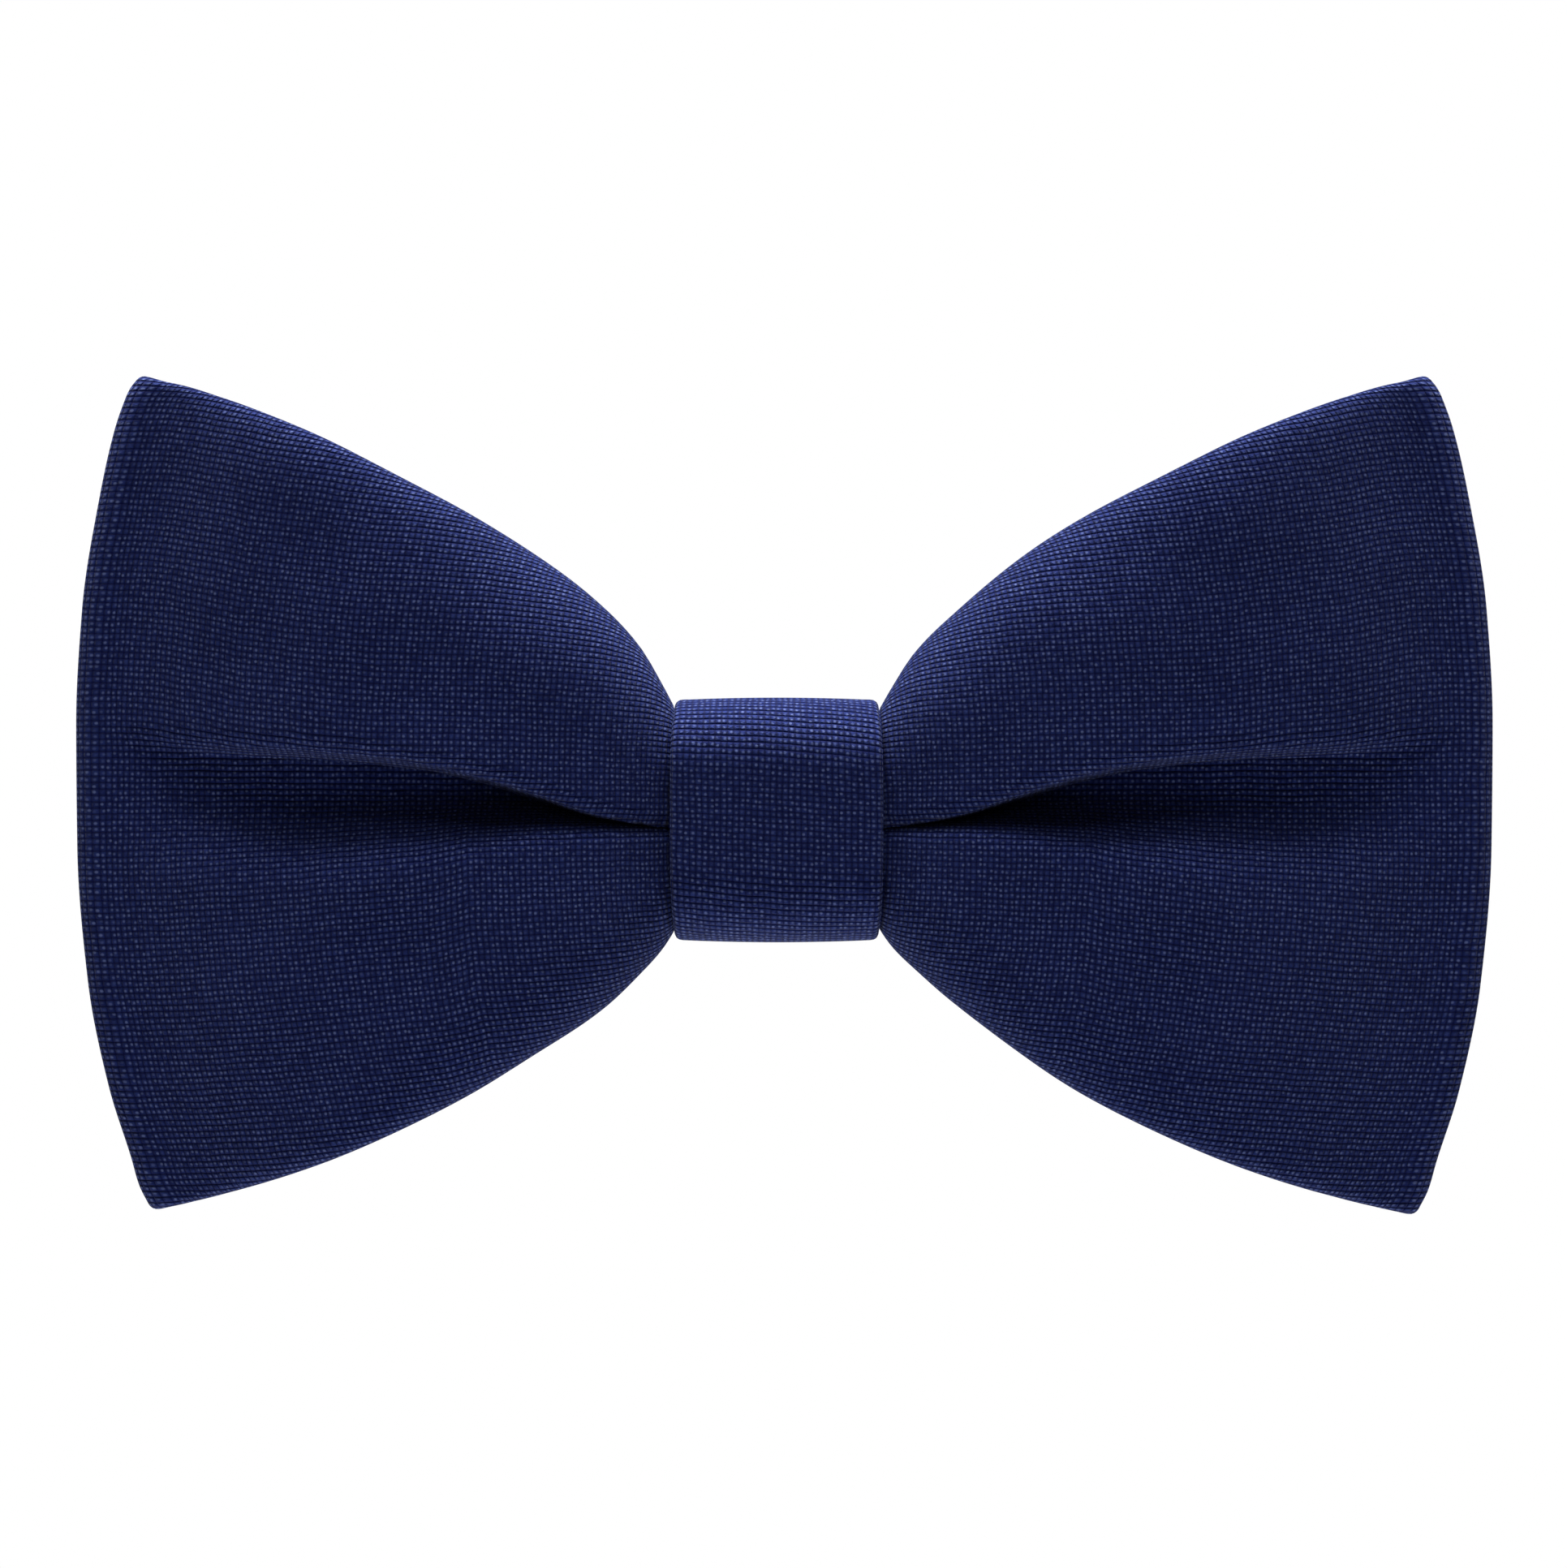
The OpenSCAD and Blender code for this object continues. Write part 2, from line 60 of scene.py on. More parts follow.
# ---- Sizes that follow the CAD part's. Angles are in degrees about the neck, from the front. ----
def box_mm(node):
    """Lowest and highest corners of a CAD node."""
    return [np.round(np.array(corner) / MM, 3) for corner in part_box(node)]


def angle_of(x, y):
    """Angle about the neck of a place on either side."""
    return math.degrees(math.atan2(abs(x), -y))


def axis_place(joint):
    """Radius and angle about the neck of a joint's axis."""
    x, y, _ = joint_places[joint]
    return round(math.hypot(x, y), 2), round(angle_of(x, y), 2)


joint_places = {joint["name"]: [p / MM for p in joint["pos_m"]] for joint in frame["joints"]}
knot_low, knot_high = box_mm("knot_wrap")
band_low, band_high = box_mm("left_strap")
label_low, label_high = box_mm("blank_label")
slider_middle = np.mean(box_mm("slider_frame"), axis=0)

KNOT_W, KNOT_D, KNOT_H = np.round(knot_high - knot_low, 3).tolist()
KNOT_BACK = float(knot_high[1])                             # the knot's back face
STRAP_W = float(band_high[2] - band_low[2])
LABEL_W = float(label_high[2] - label_low[2])
HINGE = tuple(round(p, 3) for p in joint_places["right_strap_flex"][:2])
RING_BAR, LEFT_END = axis_place("ring_swivel")              # the bars the straps fold round
HOOK_BAR, RIGHT_END = axis_place("hook_swivel")
SLIDER_AT = round(angle_of(*slider_middle[:2]), 1)          # the slider's middle bar

BOW_T = 1.7              # padded layer of the bow
FOLD_R = 1.6             # end folds, at the middle of the layer
FOLD_X = 57.5            # about where the folds start, from the middle of the bow
WAIST_X = 9.2            # half of the gathered waist
WAIST_SHARE = 0.16       # share of a half layer that lies inside the knot
WAIST_DEPTH = 5.6        # from the bow's mid plane to a layer's crest, at the waist
WAIST_Z = 7.25           # height of the layers' edges inside the knot
SEAM = 0.3               # half of the gap between the butted ends
BOW_Y = -69.95           # the bow's mid plane
KNOT_T = 1.5             # thickness of the wrap
NECK_R = 60
STRAP_T = 1.0
STRAP_MID = NECK_R + STRAP_T / 2
OUTER_MID = 64.2         # middle of the right strap's outer layer
RAMP = (84, 96)          # where the right strap climbs to its outer layer
CONTACT = 25.93          # where a strap meets the neck
SPLICE = 162             # where the return layer takes over from the hook's loop
SLIDER_BAR = 61.8        # radius about the neck of the slider's middle bar
RING_FOLD = 1.6          # radii of the cloth's middle round the three bars
HOOK_FOLD = 1.85
SLIDER_FOLD = 1.3
FOLD_TURN = 225          # how far round its bar a folded end goes
LEFT_TAIL_R = 61.62      # radius about the neck of the middle of the left strap's folded end
LEFT_TAIL = (4.2, 9)     # where it lands and where it ends, back from its bar
LOOP_TAIL_R = 61.6       # the same for the adjuster's loop
LOOP_TAIL = (2.6, 4.6)

# ---- Weave ----
PITCH = 0.5              # spacing of the threads


def curve(points):
    """A smooth function through a short list of points, which never overshoots them."""
    x, y = np.array(points, float).T
    h = np.diff(x)
    d = np.diff(y) / h
    slope = np.zeros(len(x))
    for i in range(1, len(x) - 1):
        if d[i - 1] * d[i] > 0:
            w1 = 2 * h[i] + h[i - 1]
            w2 = h[i] + 2 * h[i - 1]
            slope[i] = (w1 + w2) / (w1 / d[i - 1] + w2 / d[i])
    slope[0] = d[0]
    slope[-1] = d[-1]

    def value(at):
        at = np.clip(at, x[0], x[-1])
        i = np.clip(np.searchsorted(x, at, "right") - 1, 0, len(h) - 1)
        t = (at - x[i]) / h[i]
        return ((1 + 2 * t) * (1 - t) ** 2 * y[i] + t * (1 - t) ** 2 * h[i] * slope[i]
                + t * t * (3 - 2 * t) * y[i + 1] + t * t * (t - 1) * h[i] * slope[i + 1])

    return value


def lerp(a, b, t):
    return a + (b - a) * t


def unit(v):
    return v / np.maximum(np.linalg.norm(v, axis=-1, keepdims=True), 1e-9)


def arc_lengths(points):
    """Running length along the first axis."""
    steps = np.linalg.norm(np.diff(points, axis=0), axis=-1)
    return np.concatenate([np.zeros_like(steps[:1]), np.cumsum(steps, axis=0)])


# ---- Meshes ----
def add_mesh(name, points, faces, uvs, material):
    """A mesh object from points in mm. uvs holds one (u, v) per face corner, in threads."""
    mesh = bpy.data.meshes.new(name)
    mesh.from_pydata((np.asarray(points) * MM).tolist(), [], faces)
    layer = mesh.uv_layers.new(name="weave")
    layer.data.foreach_set("uv", np.asarray(uvs, np.float32).ravel())
    mesh.polygons.foreach_set("use_smooth", [True] * len(mesh.polygons))
    mesh.materials.append(material)
    mesh.flip_normals()          # the loops of band and of the stitches run clockwise from outside
    mesh.update()
    made = bpy.data.objects.new(name, mesh)
    bpy.context.scene.collection.objects.link(made)
    return made


def grid(points, uv, closed):
    """Quads over points[i, j], which wrap round in j, and in i too if closed.
    uv has one more column than points, and one more row if closed."""
    n, m = points.shape[:2]
    i, j = np.meshgrid(np.arange(n if closed else n - 1), np.arange(m), indexing="ij")
    i1, j1 = i + 1, j + 1
    corners = [(i, j), (i1, j), (i1, j1), (i, j1)]
    faces = np.stack([(a % n) * m + b % m for a, b in corners], -1).reshape(-1, 4)
    coords = np.stack([uv[a, b] for a, b in corners], 2).reshape(-1, 2)
    return faces.tolist(), coords


def end_cap(row, m, middle, first):
    """Faces that close a section loop, paired across from its edge at index middle."""
    base = row * m
    faces = []
    for k in range(m // 2):
        a, b = (middle - k) % m, (middle + k) % m
        c, d = (middle + k + 1) % m, (middle - k - 1) % m
        if a == b:
            face = [a, c, d]
        elif c == d:
            face = [a, b, c]
        else:
            face = [a, b, c, d]
        if not first:
            face.reverse()
        faces.append([base + f for f in face])
    return faces


def outward(mid, closed=False):
    """Directions across and out of the surface mid[i, j]."""
    if closed:
        run = np.roll(mid, -1, 0) - np.roll(mid, 1, 0)
    else:
        run = np.gradient(mid, axis=0)
    side = unit(np.gradient(mid, axis=1))
    return side, unit(np.cross(side, run))


def band(name, mid, half, material, closed=False, square=1.0, along=None, across=None, turn_points=7):
    """A band of cloth around the surface mid[i, j], half thick on each side, with its two
    edges rounded, or squarer if square is below 1. along and across are its weave
    coordinates in mm."""
    n, m = mid.shape[:2]
    middle = m // 2
    side, normal = outward(mid, closed)
    if along is None:
        line = mid[:, middle]
        along = arc_lengths(np.concatenate([line, line[:1]]) if closed else line)
    if across is None:
        lengths = arc_lengths(mid[n // 2])
        across = np.tile(lengths - lengths[middle], (n, 1))
    turns = np.pi * np.arange(1, turn_points + 1) / (turn_points + 1)

    def rounded(j, sign):
        """Points around the edge at column j, from the outer face to the inner face."""
        c = np.sign(np.cos(turns)) * np.abs(np.cos(turns)) ** square
        s = np.sin(turns) ** square
        return (mid[:, j, None] + half * normal[:, j, None] * c[:, None]
                + sign * half * side[:, j, None] * s[:, None])

    outer = mid + half * normal
    inner = mid - half * normal
    loop = np.concatenate([
        inner[:, middle::-1],
        rounded(0, -1)[:, ::-1],
        outer,
        rounded(-1, 1),
        inner[:, :middle:-1],
    ], 1)
    bend = half * turns
    low, high = across[:, :1], across[:, -1:]
    total = np.pi * half
    v = np.concatenate([
        2 * low - total - across[:, middle::-1],
        low - bend[::-1],
        across,
        high + bend,
        2 * high + total - across[:, :middle - 1:-1],
    ], 1)
    rows = n + 1 if closed else n
    if closed:
        v = np.concatenate([v, v[:1]])
    u = np.repeat(along[:rows, None], v.shape[1], 1)
    uv = np.stack([u, v], -1) / PITCH
    faces, coords = grid(loop, uv, closed)
    if not closed:
        flat = loop.reshape(-1, 3)
        edge = middle + 1 + turn_points // 2
        for row, first in ((0, True), (n - 1, False)):
            caps = end_cap(row, loop.shape[1], edge, first)
            for face in caps:
                here = [[flat[f][2] / PITCH, flat[f][1] / PITCH] for f in face]
                coords = np.concatenate([coords, here])
            faces += caps
    return add_mesh(name, loop.reshape(-1, 3), faces, coords, material)


# ---- Materials ----
def new_material(name):
    made = bpy.data.materials.new(name)
    made.use_nodes = True
    tree = made.node_tree
    return made, tree, tree.nodes["Principled BSDF"]


def math_node(tree, kind, a, b=None, c=None, clamp=False):
    node = tree.nodes.new("ShaderNodeMath")
    node.operation = kind
    node.use_clamp = clamp
    for socket, value in zip(node.inputs, (a, b, c)):
        if value is None:
            continue
        if hasattr(value, "node"):
            tree.links.new(value, socket)
        else:
            socket.default_value = value
    return node.outputs[0]


def scaled(tree, x, by, plus, clamp=False):
    return math_node(tree, "MULTIPLY_ADD", x, by, plus, clamp)


def product(tree, a, b, clamp=False):
    return math_node(tree, "MULTIPLY", a, b, clamp=clamp)


def noise(tree, vector, scale, detail=2.0, stretch=None):
    """Fractal noise around 0.5 at that many waves a unit of vector."""
    if stretch:
        node = tree.nodes.new("ShaderNodeVectorMath")
        node.operation = "MULTIPLY"
        tree.links.new(vector, node.inputs[0])
        node.inputs[1].default_value = stretch
        vector = node.outputs[0]
    node = tree.nodes.new("ShaderNodeTexNoise")
    node.inputs["Scale"].default_value = scale
    node.inputs["Detail"].default_value = detail
    tree.links.new(vector, node.inputs["Vector"])
    return node.outputs["Fac"]


def mix_colour(tree, factor, a, b):
    node = tree.nodes.new("ShaderNodeMix")
    node.data_type = "RGBA"
    tree.links.new(factor, node.inputs["Factor"])
    for socket, value in (("A", a), ("B", b)):
        target = [s for s in node.inputs if s.name == socket and s.type == "RGBA"][0]
        if hasattr(value, "node"):
            tree.links.new(value, target)
        else:
            target.default_value = (*value, 1)
    return [s for s in node.outputs if s.type == "RGBA"][0]


def weave_coordinates(tree, wander):
    """The weave's own coordinates, and u and v in threads, out of true by up to half of
    wander as real threads are."""
    uv = tree.nodes.new("ShaderNodeUVMap")
    uv.uv_map = "weave"
    split = tree.nodes.new("ShaderNodeSeparateXYZ")
    tree.links.new(uv.outputs["UV"], split.inputs[0])
    slow_u = noise(tree, uv.outputs["UV"], 0.11, 1.0)
    drift_u = scaled(tree, slow_u, wander, -wander / 2)
    slow_v = noise(tree, uv.outputs["UV"], 0.13, 1.0, stretch=(1, 1.3, 1))
    drift_v = scaled(tree, slow_v, wander, -wander / 2)
    u = math_node(tree, "ADD", split.outputs["X"], drift_u)
    v = math_node(tree, "ADD", split.outputs["Y"], drift_v)
    return uv.outputs["UV"], u, v


def crown(tree, x, sharpness):
    """1 along the middle of each thread and 0 in the groove between two."""
    phase = math_node(tree, "FRACT", x)
    off = math_node(tree, "ABSOLUTE", scaled(tree, phase, 2.0, -1.0))
    return math_node(tree, "SUBTRACT", 1.0, math_node(tree, "POWER", off, sharpness))


def cell_random(tree, u, v, seed):
    """Three random numbers for each crossing of the weave."""
    join = tree.nodes.new("ShaderNodeCombineXYZ")
    tree.links.new(math_node(tree, "FLOOR", u), join.inputs[0])
    tree.links.new(math_node(tree, "FLOOR", v), join.inputs[1])
    join.inputs[2].default_value = seed
    node = tree.nodes.new("ShaderNodeTexWhiteNoise")
    node.noise_dimensions = "3D"
    tree.links.new(join.outputs[0], node.inputs["Vector"])
    split = tree.nodes.new("ShaderNodeSeparateXYZ")
    tree.links.new(node.outputs["Color"], split.inputs[0])
    return split.outputs


HIGHLIGHT_FALL = -11.0        # brightness of a painted highlight by the square of the way from its middle, in threads


def highlight_spot(tree, u, v, places):
    """A small round painted highlight, off the middle of each crossing by its own random amount."""
    squares = []
    for x, place in ((u, places[0]), (v, places[1])):
        centre = scaled(tree, place, 0.4, 0.3)
        away = math_node(tree, "SUBTRACT", math_node(tree, "FRACT", x), centre)
        squares.append(product(tree, away, away))
    away = math_node(tree, "ADD", *squares)
    return scaled(tree, away, HIGHLIGHT_FALL, 1.0, clamp=True)


def add_bump(tree, shader, height, distance, strength=1.0):
    bump = tree.nodes.new("ShaderNodeBump")
    bump.inputs["Distance"].default_value = distance
    bump.inputs["Strength"].default_value = strength
    tree.links.new(height, bump.inputs["Height"])
    tree.links.new(bump.outputs["Normal"], shader.inputs["Normal"])


# Colours of the cloth: painted shade in the grooves between its threads, the threads, and painted
# highlights on their crowns
GROOVE_SHADE = (0.0004, 0.0024, 0.0480)
NAVY = (0.0270, 0.0450, 0.1980)
CROWN_HIGHLIGHT = (0.128, 0.166, 0.375)
CLOTH_ROUGH = 0.88
CLOTH_RELIEF = 0.00025   # metres, from the grooves to the crowns


def cloth_material():
    """A plain weave: grooves darkened with painted shade, crowned crossings, uneven threads and painted
    highlights of random strength on the crossings.
    """
    made, tree, shader = new_material("navy_weave")
    uv, u, v = weave_coordinates(tree, 0.5)
    # The grooves between warp threads are shallower than those between weft threads.
    warp_crown = scaled(tree, crown(tree, u, 2.4), 0.75, 0.25)
    weft_crown = crown(tree, v, 2.6)
    cell = product(tree, warp_crown, weft_crown)
    chances = cell_random(tree, u, v, 3.0)
    places = cell_random(tree, u, v, 9.0)
    # Every second crossing stands a little lower, as the other thread is on top there.
    floors = [math_node(tree, "FLOOR", x) for x in (u, v)]
    over = math_node(tree, "MODULO", math_node(tree, "ADD", *floors), 2.0)
    over = math_node(tree, "ABSOLUTE", over)
    level = scaled(tree, over, 0.16, 0.84)
    fibre = noise(tree, uv, 2.6, 3.0, stretch=(1.0, 1.7, 1.0))
    uneven = scaled(tree, fibre, 0.9, 0.55)
    height = product(tree, product(tree, cell, level), uneven)
    # The colour darkens from each crossing's crown into the grooves around it and on the lower
    # crossings: painted shade, times a random tone for each crossing.
    tone = scaled(tree, chances[0], 0.5, 0.55)
    tone = product(tree, height, tone, clamp=True)
    base = mix_colour(tree, tone, GROOVE_SHADE, NAVY)
    # Painted highlights: a lighter, greyer spot on each crossing's weft crown, of random strength,
    # stands in for the threads' shine.
    chance = product(tree, math_node(tree, "POWER", chances[1], 0.75), weft_crown)
    highlight = product(tree, chance, highlight_spot(tree, u, v, places), clamp=True)
    colour = mix_colour(tree, highlight, base, CROWN_HIGHLIGHT)
    tree.links.new(colour, shader.inputs["Base Color"])
    # The fibre's noise lies around 0.5, so the roughness lies around CLOTH_ROUGH.
    gloss = scaled(tree, fibre, -0.12, CLOTH_ROUGH + 0.06)
    tree.links.new(gloss, shader.inputs["Roughness"])
    shader.inputs["Specular IOR Level"].default_value = 0.05
    shader.inputs["Sheen Weight"].default_value = 0.09
    shader.inputs["Sheen Roughness"].default_value = 0.42
    shader.inputs["Sheen Tint"].default_value = (0.8, 0.83, 1.0, 1)
    add_bump(tree, shader, height, CLOTH_RELIEF)
    return made


def lining_material():
    """Brushed cotton interlining: pale, matt and fuzzy."""
    made, tree, shader = new_material("interlining_felt")
    place = tree.nodes.new("ShaderNodeTexCoord").outputs["Object"]
    fuzz = noise(tree, place, 2600, 4.0)
    patch = noise(tree, place, 220, 2.0)
    tone = scaled(tree, fuzz, 0.6, product(tree, patch, 0.4))
    tree.links.new(mix_colour(tree, tone, (0.62, 0.59, 0.52), (0.82, 0.80, 0.74)),
                   shader.inputs["Base Color"])
    shader.inputs["Roughness"].default_value = 0.95
    add_bump(tree, shader, fuzz, 0.00015)
    return made


def thread_material():
    """Twisted sewing thread, its plies running slantwise round its own tube."""
    made, tree, shader = new_material("navy_thread")
    _, u, v = weave_coordinates(tree, 0.1)
    twist = math_node(tree, "ADD", product(tree, u, 2.2), product(tree, v, 1.2))
    ply = crown(tree, twist, 2.0)
    # The colour darkens from each ply's crown into the groove between plies: painted shade.
    tree.links.new(mix_colour(tree, ply, (0.004, 0.006, 0.030), (0.022, 0.032, 0.120)),
                   shader.inputs["Base Color"])
    shader.inputs["Roughness"].default_value = 0.55
    add_bump(tree, shader, ply, 0.00006)
    return made


def label_material():
    """Pale woven satin tape, with fine ribs along its length and slanting floats."""
    made, tree, shader = new_material("label_satin")
    _, u, v = weave_coordinates(tree, 0.2)
    rib = crown(tree, product(tree, v, 2.0), 2.0)
    float_step = crown(tree, scaled(tree, v, 0.8, product(tree, u, 0.4)), 3.0)
    height = scaled(tree, rib, 0.6, product(tree, float_step, 0.4))
    # The colour darkens from the crowns of the ribs and floats into the grooves between them: painted
    # shade.
    tree.links.new(mix_colour(tree, height, (0.60, 0.58, 0.53), (0.84, 0.82, 0.78)),
                   shader.inputs["Base Color"])
    shader.inputs["Roughness"].default_value = 0.45
    shader.inputs["Sheen Weight"].default_value = 0.2
    add_bump(tree, shader, height, 0.00005)
    return made


def nickel_material():
    """Lightly brushed nickel plate with handling marks."""
    made, tree, shader = new_material("nickel_plate")
    place = tree.nodes.new("ShaderNodeTexCoord").outputs["Object"]
    brushed = noise(tree, place, 900, 3.0, stretch=(1, 1, 0.06))
    marks = noise(tree, place, 160, 4.0)
    tree.links.new(mix_colour(tree, marks, (0.42, 0.41, 0.385), (0.58, 0.57, 0.545)),
                   shader.inputs["Base Color"])
    shader.inputs["Metallic"].default_value = 1.0
    gloss = scaled(tree, brushed, 0.14, scaled(tree, marks, 0.14, 0.16))
    tree.links.new(gloss, shader.inputs["Roughness"])
    add_bump(tree, shader, brushed, 0.00002, 0.6)
    return made


CLOTH = cloth_material()
LINING = lining_material()
THREAD = thread_material()
LABEL = label_material()
NICKEL = nickel_material()

# ---- The bow ----
# Height of the edges against distance from the middle, in mm
TOP_EDGE = curve([(9.2, 9.4), (10.4, 11.6), (12.4, 14.9), (16, 18.6), (21, 22.6), (26, 25.8),
                  (32, 29.0), (40, 33.0), (48, 36.15), (52, 37.4), (55, 37.9)])
BOTTOM_EDGE = curve([(9.2, 9.4), (10.4, 11.2), (12.4, 13.3), (15, 15.7), (21, 20.0), (26, 23.2),
                     (32, 26.3), (40, 29.7), (48, 32.2), (52, 33.2), (55, 33.75)])
# Reach of the end fold against the share of the height
END_REACH = curve([(0, 54.0), (0.02, 54.75), (0.05, 55.4), (0.13, 57.3), (0.25, 59.1), (0.4, 60.0),
                   (0.55, 60.1), (0.7, 59.6), (0.85, 58.1), (0.94, 56.8), (0.97, 56.15), (0.99, 55.6),
                   (1, 55.1)])
# Along a wing, from 0 at the knot to 1 at the fold. A crest is how far a layer stands out over
# WAIST_DEPTH, a pleat how far it falls in, a roll how far it falls back at its edge, and a wall or
# width is measured up or down the face.
FRONT_CREST = curve([(0, 0), (0.06, 0.9), (0.16, 2.2), (0.35, 2.9), (0.55, 2.2), (0.75, 0.0),
                     (0.9, -2.4), (1, -4.0)])
BACK_CREST = curve([(0, 0), (0.1, 0.1), (0.3, 0.2), (0.5, -0.4), (0.8, -2.2), (1, -4.0)])
PLEAT_Z = curve([(0, -0.7), (0.12, 0.3), (0.22, 1.9), (0.33, 3.6), (0.43, 4.6), (0.64, 5.3), (1, 5.0)])
PLEAT_DEPTH = curve([(0, 4.0), (0.1, 5.2), (0.25, 6.0), (0.45, 4.7), (0.65, 3.5), (0.82, 2.0), (1, 0)])
UPPER_WALL = curve([(0, 0.8), (0.12, 0.9), (0.22, 1.0), (0.33, 1.0), (0.5, 1.2), (0.8, 2.0), (1, 3)])
LOWER_WALL = curve([(0, 0.9), (0.12, 1.9), (0.22, 4.1), (0.33, 6.9), (0.45, 9.2), (0.64, 11.1), (1, 11)])
LOWER_FLOOR = 0.2        # share of the lower wall's width that is flat floor
LIP_MARGIN = 0.7         # past the end of a wall, where the bow's face is flat again
LIP_STEEPNESS = 2.6
LIP_ROUNDING = 1.25
# How much longer the cloth is through the pleat than straight across it, as the rows lie
PLEAT_SLACK = curve([(0, 2.4), (0.5, 2.4), (0.75, 1.4), (1, 0)])
TOP_ROLL = curve([(0, 4.2), (0.1, 5.2), (0.3, 4.6), (0.5, 2.6), (0.65, 1.1), (0.9, 0.3), (1, 0)])
BOTTOM_ROLL = curve([(0, 3.6), (0.1, 3.6), (0.3, 2.4), (0.5, 1.4), (0.65, 0.8), (0.9, 0.3), (1, 0)])
TOP_WIDTH = curve([(0, 6.5), (0.1, 9.5), (0.3, 10.5), (0.5, 8.5), (0.7, 4.5), (1, 3)])
BOTTOM_WIDTH = curve([(0, 4.5), (0.1, 6.5), (0.3, 7.5), (0.5, 7.0), (0.7, 4.0), (1, 3)])
BACK_PLEAT = curve([(0, 1.3), (0.1, 2.5), (0.3, 2.8), (0.5, 2.2), (0.85, 0.5), (1, 0)])
# Threads lie closer together where the band is gathered
ROW_PITCH = curve([(0, 0.95), (0.3, 1.01), (0.6, 1.04), (1, 1.06)])
# Hand-made unevenness of the left (-1) and right (1) wing: factors on its length, the height of
# its top edge and the height of its bottom edge, and mm added to both edges at its shoulder
SIDE_LENGTH = {-1: 0.997, 1: 1.02}
SIDE_TOP = {-1: 1.0, 1: 1.0}
SIDE_BOTTOM = {-1: 0.995, 1: 1.008}
SIDE_SHOULDER = {-1: 0.35, 1: -0.35}
SHOULDER_AT = 0.14       # along a wing
SHOULDER_SPREAD = 0.12
END_FAN = 0.011          # how much taller the band is at the very end of a fold than at its start
CLEARANCE = -0.6         # least level of the front layer's middle over the bow's mid plane
BACK_CLEARANCE = 1.8     # the same for the back layer
CLEARANCE_EDGE = 4       # how sharply a layer settles on its least level
BACK_ROLL = 0.6          # share of the front's roll at its edges that the back has
FOLD_ONSET = 12          # how late along a wing a layer settles to the fold's level
# Each ripple's height, its turn in radians for each mm of x and of z, and its phase
RIPPLES = ((0.16, 0.21, 0.13, 1.3), (0.10, 0.37, -0.29, 0.4), (0.06, 0.11, 0.55, 2.1))
BACK_SHIFT = 90          # mm, so that the back's ripples aren't the front's
# How finely the band is cut
COLUMNS = 111            # across it
EDGE_COLUMNS = 0.75      # how far the columns crowd towards its middle and its edges, of 1
WAIST_ROWS = 8           # inside the knot
WING_ROWS = 101
ROW_CROWDING = 1.15      # above 1, a wing's rows lie closer together near the knot
FOLD_ROWS = 11
LINING_TRIM = 0.02       # share of a half layer by which its interlining ends short of the seam
LINING_INSET = 3         # columns by which it ends inside the cloth's edges
LINING_HALF = 0.3        # half of its thickness


def edge_height(x, edge):
    """Height of the middle of the layer's edge, half a thickness inside the outline."""
    return np.where(x > WAIST_X, edge(x) - BOW_T / 2, WAIST_Z)


def quarter_drop(x):
    """1 at x = 0, falling as a quarter circle to 0 at x = 1."""
    return 1 - np.sqrt(np.clip(1 - (1 - np.clip(x, 0, 1)) ** 2, 0, 1))


def trough_drop(x, floor):
    """1 over the floor's share of the width, easing to 0 at x = 1."""
    return (1 + np.cos(np.pi * np.clip((x - floor) / (1 - floor), 0, 1))) / 2


def lip_drop(x):
    """1 at x = 0, falling slowly and then steeply to a rounded lip at x = 1."""
    return (1 - np.clip(x, 0, 1) ** LIP_STEEPNESS) ** LIP_ROUNDING


def ripples(x, z):
    """Slow unevenness of a padded layer, a few tenths of a millimetre high."""
    return sum(high * np.sin(per_x * x + per_z * z + phase) for high, per_x, per_z, phase in RIPPLES)


